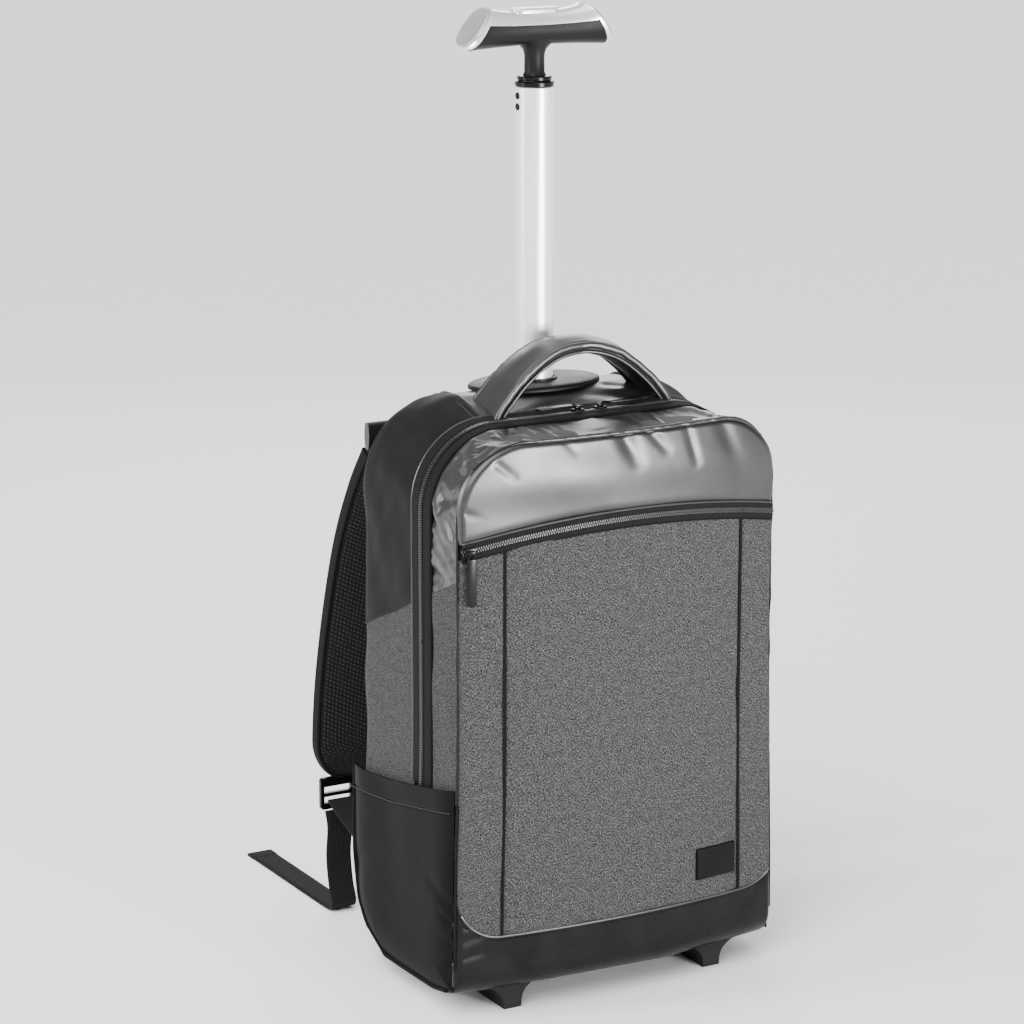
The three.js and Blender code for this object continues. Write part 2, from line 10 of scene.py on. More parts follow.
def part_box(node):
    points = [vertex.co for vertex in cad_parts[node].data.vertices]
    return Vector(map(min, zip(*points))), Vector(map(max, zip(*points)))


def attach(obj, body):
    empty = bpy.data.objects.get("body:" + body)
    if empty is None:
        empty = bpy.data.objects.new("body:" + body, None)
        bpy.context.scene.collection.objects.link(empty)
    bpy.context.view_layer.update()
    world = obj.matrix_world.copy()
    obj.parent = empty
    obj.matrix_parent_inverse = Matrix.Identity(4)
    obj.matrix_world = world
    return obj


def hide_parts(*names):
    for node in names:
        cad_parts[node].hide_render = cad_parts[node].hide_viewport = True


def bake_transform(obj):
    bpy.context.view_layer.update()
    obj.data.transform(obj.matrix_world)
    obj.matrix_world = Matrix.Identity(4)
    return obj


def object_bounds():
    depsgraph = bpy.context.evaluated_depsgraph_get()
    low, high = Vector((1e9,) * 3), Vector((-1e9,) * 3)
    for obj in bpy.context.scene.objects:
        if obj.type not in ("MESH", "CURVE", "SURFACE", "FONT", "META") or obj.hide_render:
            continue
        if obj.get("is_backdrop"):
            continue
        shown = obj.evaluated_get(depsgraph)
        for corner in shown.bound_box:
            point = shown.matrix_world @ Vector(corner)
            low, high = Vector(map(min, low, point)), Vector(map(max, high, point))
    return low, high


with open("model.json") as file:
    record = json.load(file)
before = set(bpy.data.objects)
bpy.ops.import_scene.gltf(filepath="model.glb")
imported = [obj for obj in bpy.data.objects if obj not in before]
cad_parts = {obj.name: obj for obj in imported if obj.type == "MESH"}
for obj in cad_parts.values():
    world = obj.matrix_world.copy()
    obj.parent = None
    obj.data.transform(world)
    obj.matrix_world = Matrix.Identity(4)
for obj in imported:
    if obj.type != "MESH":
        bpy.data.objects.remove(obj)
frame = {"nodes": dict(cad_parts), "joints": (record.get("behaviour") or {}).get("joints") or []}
cad_low, cad_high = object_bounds()

# Sizes of the case, in metres, from the frame's own boxes
HALF_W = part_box("front_section")[1].x
FRONT_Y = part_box("front_pocket_upper")[0].y
BACK_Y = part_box("back_panel")[1].y
FOLD_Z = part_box("front_section")[0].z
ZIP_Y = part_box("main_zip_tape_front")[1].y
TAPE_W = ZIP_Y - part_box("main_zip_tape_front")[0].y
FLOOR_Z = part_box("bottom_panel")[0].z
BASE_TOP_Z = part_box("wheel_base")[1].z
MAST_TOP_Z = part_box("mast_tube")[1].z
MAST_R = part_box("mast_tube")[1].x

# Sizes that no box of the frame gives
MAST_BORE_R = MAST_R + 0.0014
CORNER_R = 0.060
BOW_R = 0.777
ARC_R = 0.750
ARC_TOP_Z = 0.4225
EDGE_R = 0.005
TOE_R = 0.022
FRONT_TOP_Z = 0.4942
BAND_Z = 0.072
PANEL_X = 0.115
SEAM_TOP_X = 0.085
CENTRE = np.array([0.0, -0.06, 0.27])


# ---------------------------------------------------------------- shape helpers
def profile(points, soft=0.008):
    """A softened curve through [y, value] points, as a function of y."""
    ys, values = np.array(points).T
    fine = np.linspace(ys[0], ys[-1], 600)
    line = np.interp(fine, ys, values)
    n = int(soft / (fine[1] - fine[0]))
    kernel = np.hanning(2 * n + 3)[1:-1]
    line = np.convolve(np.pad(line, n, mode="edge"), kernel / kernel.sum(), "valid")
    return lambda y: np.interp(y, fine, line)


case_top = profile([
    [-0.162, 0.4935], [-0.130, 0.4948], [-0.097, 0.4953], [-0.080, 0.4958], [-0.060, 0.4985], [-0.040, 0.504],
    [-0.020, 0.508], [0.006, 0.507], [0.022, 0.499], [0.031, 0.486], [0.037, 0.466],
])
case_corner = profile([
    [-0.162, CORNER_R], [-0.130, 0.063], [-0.080, 0.068], [-0.050, 0.066], [0.037, 0.060],
], 0.02)
case_narrow = profile([
    [-0.162, 0.0008], [-0.130, 0], [0.010, 0], [0.022, 0.0005], [0.031, 0.003], [0.037, 0.008],
], 0.004)


def ripple(points, wavelength, seed, waves=7):
    """Smooth noise about -1 to 1 at each point."""
    rng = np.random.default_rng(seed)
    total = np.zeros(points.shape[:-1])
    for _ in range(waves):
        direction = rng.normal(size=3)
        direction *= 2 * np.pi / wavelength / np.linalg.norm(direction) * rng.uniform(0.6, 1.5)
        total += np.sin(points @ direction + rng.uniform(0, 2 * np.pi))
    return total / math.sqrt(waves)


def unit(v):
    return v / np.maximum(np.linalg.norm(v, axis=-1, keepdims=True), 1e-12)


def grid_normals(P):
    return unit(np.cross(np.gradient(P, axis=1), np.gradient(P, axis=0)))


def dent(P, N, a, b, width, depth):
    """Pushes the surface in along the segment a-b, with soft flanks."""
    a, b = np.array(a, float), np.array(b, float)
    d = b - a
    t = np.clip(((P - a) @ d) / (d @ d), 0, 1)
    away = np.linalg.norm(P - a - t[..., None] * d, axis=-1)
    fade = 1 - 0.6 * t
    return P - N * (depth * fade * np.exp(-((away / width) ** 2)))[..., None]


def new_mesh(name, verts, faces, material, smooth=True, angle=40):
    mesh = bpy.data.meshes.new(name)
    mesh.from_pydata([tuple(v) for v in verts], [], faces)
    mesh.update()
    mesh.polygons.foreach_set("use_smooth", [smooth] * len(mesh.polygons))
    if smooth:
        mesh.set_sharp_from_angle(angle=math.radians(angle))
    if material:
        mesh.materials.append(material)
    obj = bpy.data.objects.new(name, mesh)
    bpy.context.scene.collection.objects.link(obj)
    return obj


def cloth(name, P, thick, material, centre=CENTRE, flip=None):
    """A closed sheet of fabric whose outer face is the grid P, with a UV map in metres."""
    rows, cols = P.shape[:2]
    N = grid_normals(P)
    if flip is None:
        flip = np.mean(np.sum(N * (P - centre), -1)) < 0
    if flip:
        N = -N
    inner = P - N * thick
    verts = np.concatenate([P.reshape(-1, 3), inner.reshape(-1, 3)])
    count = rows * cols
    faces = []
    for r in range(rows - 1):
        for c in range(cols - 1):
            a = r * cols + c
            q = (a, a + 1, a + cols + 1, a + cols)
            faces.append(q if not flip else q[::-1])
            w = tuple(i + count for i in q)
            faces.append(w[::-1] if not flip else w)
    rim = list(range(cols)) + [r * cols + cols - 1 for r in range(1, rows)]
    rim += [(rows - 1) * cols + c for c in range(cols - 2, -1, -1)]
    rim += [r * cols for r in range(rows - 2, 0, -1)]
    for i, a in enumerate(rim):
        b = rim[(i + 1) % len(rim)]
        q = (b, a, a + count, b + count)
        faces.append(q if not flip else q[::-1])
    obj = new_mesh(name, verts, faces, material)
    u = np.zeros((rows, cols))
    v = np.zeros((rows, cols))
    u[:, 1:] = np.cumsum(np.linalg.norm(np.diff(P, axis=1), axis=-1), axis=1)
    v[1:, :] = np.cumsum(np.linalg.norm(np.diff(P, axis=0), axis=-1), axis=0)
    uv = np.stack([u, v], -1).reshape(-1, 2)
    uv = np.concatenate([uv, uv])
    layer = obj.data.uv_layers.new(name="cloth")
    index = np.zeros(len(obj.data.loops), int)
    obj.data.loops.foreach_get("vertex_index", index)
    layer.data.foreach_set("uv", uv[index].ravel())
    return obj


def frames_along(path, up):
    """Tangents, side vectors and normals along a path; up is one vector or one for each point."""
    T = unit(np.gradient(path, axis=0))
    S = unit(np.cross(T, np.broadcast_to(up, path.shape)))
    return T, S, unit(np.cross(S, T))


def sweep(name, path, up, section, material, closed=False, angle=40):
    """Carries a closed section of (side, up) pairs along a path. The section may differ at each point."""
    path = np.array(path, float)
    T, S, U = frames_along(path, up)
    if closed:
        T = unit(np.roll(path, -1, 0) - np.roll(path, 1, 0))
        S = unit(np.cross(T, np.broadcast_to(up, path.shape)))
        U = unit(np.cross(S, T))
    section = np.broadcast_to(np.array(section, float), (len(path),) + np.array(section).shape[-2:])
    m = section.shape[1]
    rings = path[:, None] + S[:, None] * section[..., 0:1] + U[:, None] * section[..., 1:2]
    faces = []
    last = len(path) if closed else len(path) - 1
    for i in range(last):
        j = (i + 1) % len(path)
        for k in range(m):
            faces.append((i * m + k, i * m + (k + 1) % m, j * m + (k + 1) % m, j * m + k))
    if not closed:
        faces.append(tuple(range(m))[::-1])
        faces.append(tuple((len(path) - 1) * m + k for k in range(m)))
    area = sum(section[0][k][0] * section[0][(k + 1) % m][1] - section[0][(k + 1) % m][0] * section[0][k][1]
               for k in range(m))
    if area < 0:
        faces = [f[::-1] for f in faces]
    obj = new_mesh(name, rings.reshape(-1, 3), faces, material, angle=angle)
    around = np.zeros((len(path), m))
    around[:, 1:] = np.cumsum(np.linalg.norm(np.diff(section, axis=1), axis=-1), axis=1)
    along = np.zeros(len(path))
    along[1:] = np.cumsum(np.linalg.norm(np.diff(path, axis=0), axis=-1))
    uv = np.stack([around, np.broadcast_to(along[:, None], around.shape)], -1).reshape(-1, 2)
    layer = obj.data.uv_layers.new(name="cloth")
    index = np.zeros(len(obj.data.loops), int)
    obj.data.loops.foreach_get("vertex_index", index)
    layer.data.foreach_set("uv", uv[index].ravel())
    return obj


def rounded(width, height, radius, steps=4, bulge=0.0):
    """Section of a strap: a rectangle with round corners and crowned faces."""
    points = []
    for cx, cy, start in ((1, -1, -90), (1, 1, 0), (-1, 1, 90), (-1, -1, 180)):
        for i in range(steps + 1):
            a = math.radians(start + 90 * i / steps)
            points.append((cx * (width / 2 - radius) + radius * math.cos(a),
                           cy * (height / 2 - radius) + radius * math.sin(a)))
    out = []
    for i, p in enumerate(points):
        q = points[(i + 1) % len(points)]
        out.append(p)
        if abs(q[0] - p[0]) > width / 3:
            for k in range(1, 8):
                t = k / 8
                x = p[0] + (q[0] - p[0]) * t
                y = p[1] + math.copysign(bulge * math.sin(math.pi * t), p[1])
                out.append((x, y))
    return out


def circle(radius, sides=10):
    return [(radius * math.cos(2 * math.pi * i / sides), radius * math.sin(2 * math.pi * i / sides))
            for i in range(sides)]


def resample(path, step):
    """Points a step apart along a path."""
    path = np.array(path, float)
    length = np.concatenate([[0], np.cumsum(np.linalg.norm(np.diff(path, axis=0), axis=-1))])
    n = max(2, int(round(length[-1] / step)) + 1)
    at = np.linspace(0, length[-1], n)
    return np.stack([np.interp(at, length, path[:, k]) for k in range(3)], -1)


def smooth_path(points, step):
    """A round curve through given points (Catmull-Rom), resampled to a step."""
    p = np.array(points, float)
    p = np.concatenate([[2 * p[0] - p[1]], p, [2 * p[-1] - p[-2]]])
    out = []
    for i in range(1, len(p) - 2):
        t = np.linspace(0, 1, 24, endpoint=False)[:, None]
        a, b, c, d = p[i - 1], p[i], p[i + 1], p[i + 2]
        out.append(0.5 * (2 * b + (c - a) * t + (2 * a - 5 * b + 4 * c - d) * t ** 2
                          + (3 * b - a - 3 * c + d) * t ** 3))
    return resample(np.concatenate(out + [p[-2:-1]]), step)


def beads(name, path, up, size, pitch, material, rows=(0.0,), stagger=0.5, slant=0.0):
    """Rows of small rounded blocks along a path: zip teeth and stitches. size is along, across, high."""
    base = resample(path, pitch)
    if not np.ndim(up) == 1:
        spots = np.linspace(0, len(path) - 1, len(base))
        up = np.stack([np.interp(spots, np.arange(len(path)), np.asarray(up)[:, k]) for k in range(3)], -1)
    T, S, U = frames_along(base, up)
    ring = [(-0.5, 0.55), (-0.32, 1.0), (0.32, 1.0), (0.5, 0.55)]
    across = ((-0.5, 0.0), (-0.34, 1.0), (0.34, 1.0), (0.5, 0.0))
    shape = np.array([(a, w * s, h * s) for a, s in ring for w, h in across]) * np.array(size)
    quads = []
    for i in range(3):
        for k in range(3):
            a = i * 4 + k
            quads.append((a, a + 4, a + 5, a + 1))
    quads += [(0, 1, 2, 3), (12, 15, 14, 13)]
    quads += [(0, 3, 7, 4), (4, 7, 11, 8), (8, 11, 15, 12)]
    verts, faces = [], []
    for r, offset in enumerate(rows):
        shift = (r % 2) * stagger * pitch
        for i in range(len(base)):
            lean = slant * shape[:, 0]
            sideways = offset + shape[:, 1:2] + lean[:, None]
            block = base[i] + T[i] * (shape[:, 0:1] + shift) + S[i] * sideways + U[i] * shape[:, 2:3]
            faces += [tuple(len(verts) + k for k in q) for q in quads]
            verts += [tuple(v) for v in block]
    return new_mesh(name, verts, faces, material, angle=60)


def stitches(name, path, up, material, pitch=0.0036, rows=(0.0,)):
    return beads(name, path, up, (pitch * 0.72, 0.0007, 0.0005), pitch, material, rows, stagger=0.0)


def join(name, objs):
    """One object from several, which must share a body."""
    with bpy.context.temp_override(active_object=objs[0], selected_editable_objects=objs):
        bpy.ops.object.join()
    objs[0].name = name
    return objs[0]


def lathe(name, rings, material, axis="Z", at=(0, 0, 0), sides=64, angle=35):
    """Turned piece from (radius, height) pairs; rings with no radius close it."""
    verts, faces = [], []
    for r, h in rings:
        for i in range(sides):
            a = 2 * math.pi * i / sides
            p = (r * math.cos(a), r * math.sin(a), h)
            if axis == "X":
                p = (h, p[0], p[1])
            verts.append((p[0] + at[0], p[1] + at[1], p[2] + at[2]))
    n = len(rings)
    closed = rings[0] == rings[-1]
    for j in range(n - 1):
        k = (j + 1) % (n - 1) if closed else j + 1
        for i in range(sides):
            a, b = i, (i + 1) % sides
            faces.append((j * sides + a, j * sides + b, k * sides + b, k * sides + a))
    if closed:
        verts = verts[: (n - 1) * sides]
    else:
        faces.append(tuple(range(sides))[::-1])
        faces.append(tuple((n - 1) * sides + i for i in range(sides)))
    obj = new_mesh(name, verts, faces, material, angle=angle)
    signed = sum(Vector(verts[f[0]]).cross(Vector(verts[f[1]])).dot(Vector(verts[f[2]]))
                 for f in faces if len(f) == 4)
    if signed < 0:
        obj.data.flip_normals()
    return obj


# ---------------------------------------------------------------- materials
class Look:
    """A principled material with a few helpers for its node tree."""

    def __init__(self, name, color, rough, metal=0.0, spec=0.5, sheen=0.0, coat=0.0):
        self.mat = bpy.data.materials.new(name)
        self.mat.use_nodes = True
        self.tree = self.mat.node_tree
        self.bsdf = self.tree.nodes["Principled BSDF"]
        self.mat.diffuse_color = (*color, 1)
        self.set("Base Color", (*color, 1))
        self.set("Roughness", rough)
        self.set("Metallic", metal)
        self.set("Specular IOR Level", spec)
        self.set("Sheen Weight", sheen)
        self.set("Sheen Roughness", 0.45)
        self.set("Coat Weight", coat)
        self.set("Coat Roughness", 0.2)
        self.height = None

    def set(self, socket, value):
        self.bsdf.inputs[socket].default_value = value

    def node(self, kind, inputs=None, **props):
        n = self.tree.nodes.new(kind)
        for key, value in props.items():
            setattr(n, key, value)
        for key, value in (inputs or {}).items():
            if isinstance(value, bpy.types.NodeSocket):
                self.tree.links.new(value, n.inputs[key])
            else:
                n.inputs[key].default_value = value
        return n

    def math(self, op, a, b=0.0, c=0.0):
        return self.node("ShaderNodeMath", {0: a, 1: b, 2: c}, operation=op).outputs[0]

    def uv(self, sx, sy, turn=0.0):
        tc = self.node("ShaderNodeTexCoord").outputs["UV"]
        inputs = {"Vector": tc, "Scale": (sx, sy, 1), "Rotation": (0, 0, turn)}
        return self.node("ShaderNodeMapping", inputs).outputs[0]

    def place(self, sx, sy, sz):
        tc = self.node("ShaderNodeTexCoord").outputs["Object"]
        return self.node("ShaderNodeMapping", {"Vector": tc, "Scale": (sx, sy, sz)}).outputs[0]

    def noise(self, vector, scale=1.0, detail=3.0, rough=0.55):
        return self.node("ShaderNodeTexNoise", {"Vector": vector, "Scale": scale, "Detail": detail,
                                                "Roughness": rough}).outputs["Fac"]

    def wave(self, vector, scale, direction="X", distort=0.0):
        return self.node("ShaderNodeTexWave", {"Vector": vector, "Scale": scale, "Distortion": distort,
                                               "Detail": 0.0}, wave_type="BANDS",
                         bands_direction=direction).outputs["Fac"]

    def colour(self, fac, stops):
        ramp = self.node("ShaderNodeValToRGB", {"Fac": fac})
        elements = ramp.color_ramp.elements
        while len(elements) < len(stops):
            elements.new(0.5)
        for e, (at, value) in zip(elements, stops):
            e.position = at
            e.color = (value, value, value * 1.02, 1)
        self.tree.links.new(ramp.outputs["Color"], self.bsdf.inputs["Base Color"])
        return ramp.outputs["Color"]

    def roughness(self, fac, low, high):
        r = self.node("ShaderNodeMapRange", {"Value": fac, "From Min": 0.3, "From Max": 0.7,
                                             "To Min": low, "To Max": high}).outputs[0]
        self.tree.links.new(r, self.bsdf.inputs["Roughness"])

    def bump(self, height, distance, strength=1.0):
        inputs = {"Height": height, "Distance": distance, "Strength": strength}
        if self.height is not None:
            inputs["Normal"] = self.height
        self.height = self.node("ShaderNodeBump", inputs).outputs["Normal"]
        self.tree.links.new(self.height, self.bsdf.inputs["Normal"])


def heather():
    """Melange canvas: dark and light yarns crossing, matt with a faint bloom."""
    m = Look("heather_fabric", (0.07, 0.07, 0.072), 0.92, spec=0.06, sheen=0.03)
    warp = m.noise(m.uv(2000, 640), 1.0, 2.0, 0.6)
    weft = m.noise(m.uv(640, 2000), 1.0, 2.0, 0.6)
    clump = m.noise(m.uv(150, 150), 1.0, 2.0, 0.5)
    both = m.math("ADD", m.math("MULTIPLY", warp, 0.5), m.math("MULTIPLY", weft, 0.5))
    mixed = m.math("ADD", both, m.math("MULTIPLY", m.math("SUBTRACT", clump, 0.5), 0.06))
    m.colour(mixed, [(0.39, 0.004), (0.46, 0.017), (0.54, 0.052), (0.63, 0.19)])
    m.bump(both, 0.0005, 0.6)
    return m.mat


def coated(name, value, rough, spec):
    """Coated satin fabric: dark, with a soft shine and a fine grain."""
    m = Look(name, (value, value, value * 1.02), rough, spec=spec)
    grain = m.noise(m.place(1500, 1500, 1500), 1.0, 2.0)
    cloud = m.noise(m.place(30, 30, 30), 1.0, 3.0)
    m.colour(cloud, [(0.3, value * 0.8), (0.7, value * 1.3)])
    m.roughness(cloud, rough - 0.02, rough + 0.04)
    m.bump(cloud, 0.0015, 0.2)
    m.bump(grain, 0.00012, 0.5)
    return m.mat


def smooth_cloth(name="smooth_fabric", value=0.010, rough=(0.5, 0.62), spec=0.05):
    """Dense dark cloth with a fine weave."""
    m = Look(name, (value, value, value * 1.02), rough[0], spec=spec)
    grain = m.noise(m.place(1500, 1500, 1500), 1.0, 2.0)
    cloud = m.noise(m.place(22, 22, 22), 1.0, 3.0)
    m.colour(m.math("ADD", m.math("MULTIPLY", cloud, 0.5), m.math("MULTIPLY", grain, 0.5)),
             [(0.3, value * 0.6), (0.7, value * 1.5)])
    m.roughness(cloud, *rough)
    m.bump(cloud, 0.002, 0.2)
    m.bump(grain, 0.0002, 0.4)
    return m.mat


def coarse_cloth():
    """Coarse woven canvas of the underside."""
    m = Look("coarse_fabric", (0.018, 0.018, 0.018), 0.85, spec=0.3)
    a = m.wave(m.place(1, 1, 1), 180, "X")
    b = m.wave(m.place(1, 1, 1), 180, "Y")
    weave = m.math("MULTIPLY", a, b)
    m.colour(weave, [(0.0, 0.009), (1.0, 0.035)])
    m.bump(weave, 0.0008, 0.8)
    return m.mat


def ribbed(name="webbing", value=0.014, pitch=0.0021):
    """Webbing and zip tape: ribs along their length, crossed by fine picks."""
    m = Look(name, (value, value, value), 0.8, spec=0.1, sheen=0.01)
    scale = 2 * math.pi / pitch / 20
    ribs = m.wave(m.uv(1, 1), scale, "X")
    picks = m.wave(m.uv(1, 1), scale * 1.7, "Y")
    weave = m.math("MULTIPLY", ribs, m.math("ADD", 0.55, m.math("MULTIPLY", picks, 0.45)))
    m.colour(weave, [(0.0, value * 0.45), (1.0, value * 1.7)])
    m.bump(weave, 0.0006, 0.8)
    return m.mat


def air_mesh():
    """Open knitted mesh: dark holes between raised slanting yarns."""
    m = Look("air_mesh", (0.014, 0.014, 0.014), 0.7, spec=0.3, sheen=0.02)
    a = m.wave(m.uv(1, 1), 85, "X")
    b = m.wave(m.uv(1, 1, math.radians(62)), 85, "X")
    cells = m.math("MULTIPLY", a, b)
    m.colour(cells, [(0.1, 0.0015), (0.5, 0.016), (1.0, 0.05)])
    m.bump(cells, 0.0012, 0.9)
    return m.mat


def plain(name, value, rough, metal=0.0, spec=0.5, grain=0.0, scale=600, coat=0.0):
    """Moulded plastic, lacquer, rubber or metal with a slight unevenness."""
    m = Look(name, (value, value, value * 1.015), rough, metal, spec, coat=coat)
    n = m.noise(m.place(scale, scale, scale), 1.0, 3.0)
    cloud = m.noise(m.place(40, 40, 40), 1.0, 2.0)
    m.colour(cloud, [(0.3, value * 0.94), (0.7, min(1.0, value * 1.06))])
    m.roughness(cloud, rough * 0.9, min(1.0, rough * 1.12))
    if grain:
        m.bump(n, grain, 0.5)
    return m.mat


def anodised():
    """Satin anodised tube, with faint marks round it from the drawing die."""
    m = Look("mast_aluminium", (0.90, 0.905, 0.91), 0.34, metal=0.45, spec=0.5)
    lines = m.noise(m.place(260, 260, 6), 1.0, 2.0)
    m.colour(lines, [(0.3, 0.82), (0.7, 0.90)])
    m.roughness(lines, 0.30, 0.40)
    m.bump(lines, 0.00005, 0.3)
    return m.mat


HEATHER = heather()
COATED = coated("coated_fabric", 0.013, 0.35, 0.72)
# Toe band: the yoke's coated cloth again, with a darker base colour that is painted shade and a weaker shine
TOE_PAINTED_SHADE = coated("toe_fabric_painted_shade", 0.007, 0.27, 0.08)
SMOOTH = smooth_cloth()
POCKET = smooth_cloth("pocket_fabric", 0.0060, (0.34, 0.42), 0.02)
COARSE = coarse_cloth()
WEBBING = ribbed()
TAPE = ribbed("zip_tape", 0.009, 0.0016)
BINDING = ribbed("binding", 0.006, 0.0012)
MESH = air_mesh()
LINING = smooth_cloth("lining", 0.07, (0.8, 0.9))
BOARD = plain("board", 0.03, 0.6, grain=0.0003, scale=300)
PLASTIC = plain("black_plastic", 0.008, 0.42, spec=0.14, grain=0.0002, scale=1400)
GLOSS = plain("gloss_black", 0.004, 0.28, spec=0.16)
PATCH = plain("label_patch", 0.006, 0.34, spec=0.05)
TEETH = plain("zip_teeth", 0.030, 0.30, spec=0.9)
THREAD = plain("thread", 0.004, 0.6, spec=0.2)
THREAD_GREY = plain("grey_thread", 0.05, 0.6, spec=0.2)
SILVER = anodised()
SATIN = plain("satin_silver", 0.86, 0.28, metal=0.65, grain=0.00004, scale=900)
SATIN_GREY = plain("satin_grey", 0.36, 0.4, metal=0.4)
STEEL = plain("axle_steel", 0.55, 0.35, metal=1.0)
TYRE = plain("tyre", 0.012, 0.75, spec=0.3, grain=0.0003, scale=500)


def dress(obj, body, blend_to=None, stands_for=()):
    """Parents a piece to its body's empty, or only bakes it into world space when it lies between two bodies,
    and hides the CAD nodes it stands for.
    """
    if blend_to:
        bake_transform(obj)
    else:
        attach(obj, body)
    if stands_for:
        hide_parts(*stands_for)
    return obj


# ---------------------------------------------------------------- the case's skin
def flare(P):
    """Widens the case a little towards its foot."""
    t = np.clip((0.26 - P[..., 2]) / 0.22, 0, 1)
    wide = 1 + 0.028 * t * t * (3 - 2 * t)
    return P * np.stack([wide, np.ones_like(wide), np.ones_like(wide)], -1)


def wall(y, run, side=-1):
    """Point on the case's side and top. run is measured from the shoulder, and is below 0 down the side."""
    y, run = np.broadcast_arrays(np.asarray(y, float), np.asarray(run, float))
    narrow = case_narrow(y)
    r = case_corner(y)
    turn = np.clip(run / r, 0, math.pi / 2)
    x = HALF_W - narrow - r + r * np.cos(turn) - np.maximum(run - r * math.pi / 2, 0)
    z = case_top(y) - r + r * np.sin(turn) + np.minimum(run, 0)
    return flare(np.stack([side * x, y, z], -1))


def shoulder_z(y):
    return case_top(y) - case_corner(y)


def top_run(y, x=-0.0004):
    """Run from the shoulder over to a distance x from the middle of the top."""
    r = case_corner(y)
    return r * math.pi / 2 + HALF_W - case_narrow(y) - r - x


def colour_line_z(y):
    """Height of the slanting seam between the heather and the dark cloth."""
    return 0.309 + (0.023 - y) * 0.445


def bow(x):
    return BOW_R - np.sqrt(BOW_R ** 2 - x ** 2)


def edge_distance(x, z):
    """Distance inside the front's outline: straight sides and top, with round top corners."""
    ax = np.abs(x)
    cx, cz = HALF_W - CORNER_R, FRONT_TOP_Z - CORNER_R
    straight = np.minimum(HALF_W - ax, FRONT_TOP_Z - z)
    corner = CORNER_R - np.hypot(np.maximum(ax - cx, 0), np.maximum(z - cz, 0))
    return np.where((ax > cx) & (z > cz), corner, straight)


def roll_off(distance, radius):
    t = np.clip(1 - distance / radius, 0, 1)
    return radius * (1 - np.sqrt(1 - t ** 2))


def front_y(x, z):
    """Depth of the front face: bowed across, with round side, top and bottom edges."""
    return (FRONT_Y + bow(x) + roll_off(np.maximum(edge_distance(x, z), 0), EDGE_R)
            + roll_off(np.maximum(z - FLOOR_Z, 0), TOE_R))


def front_half_width(z):
    """Half width of the front at a height."""
    rise = np.clip(z - (FRONT_TOP_Z - CORNER_R), 0, CORNER_R)
    return HALF_W - CORNER_R + np.sqrt(np.maximum(CORNER_R ** 2 - rise ** 2, 0))


def zip_z(x):
    return ARC_TOP_Z - np.asarray(x) ** 2 / (2 * ARC_R)


def ease(n, sharp=0.55):
    """-1 to 1, closer together at both ends."""
    t = np.linspace(-1, 1, n)
    return (1 - sharp) * t + sharp * np.sin(t * math.pi / 2)


def front_patch(low, high, rows, cols, x_from=-1.0, x_to=1.0):
    """Grid on the front between two heights, each a function of x."""
    u = ease(cols)
    u = x_from + (x_to - x_from) * (u + 1) / 2
    v = (ease(rows, 0.3) + 1) / 2
    x = np.broadcast_to(u * HALF_W, (rows, cols))
    z = np.broadcast_to(v[:, None], (rows, cols)) * 1.0
    z = low(x) + (high(x) - low(x)) * z
    x = u * front_half_width(z)
    z = low(x) + (high(x) - low(x)) * v[:, None]
    return flare(np.stack([x, front_y(x, z), z], -1))


def front_line(xs, z):
    """A line on the front at given x, with its outward normals."""
    xs = np.asarray(xs, float)
    zs = z(xs) if callable(z) else np.full_like(xs, 1.0) * z
    P = np.stack([xs, front_y(xs, zs), zs], -1)
    e = 1e-4
    dx = (front_y(xs + e, zs) - front_y(xs - e, zs)) / (2 * e)
    dz = (front_y(xs, zs + e) - front_y(xs, zs - e)) / (2 * e)
    return flare(P), unit(np.stack([dx, -np.ones_like(xs), dz], -1))


def raised(line, lift):
    P, N = line
    return P + N * lift, N


def soften(P, amount, wavelength, seed):
    N = grid_normals(P)
    flip = np.sign(np.mean(np.sum(N * (P - CENTRE), -1)))
    return P + N * (flip * amount * ripple(P, wavelength, seed))[..., None]


def outward(P):
    N = grid_normals(P)
    return N * np.sign(np.mean(np.sum(N * (P - CENTRE), -1)))


# Folds of the upper gusset: y and z of one end, y and z of the other, width and depth
GUSSET_FOLDS = (
    (-0.095, 0.430, -0.138, 0.399, 0.0050, 0.0036),
    (-0.136, 0.466, -0.120, 0.452, 0.0036, 0.0026),
    (-0.111, 0.446, -0.150, 0.455, 0.0040, 0.0028),
    (-0.150, 0.430, -0.128, 0.440, 0.0034, 0.0024),
    (-0.090, 0.383, -0.121, 0.375, 0.0046, 0.0020),
)


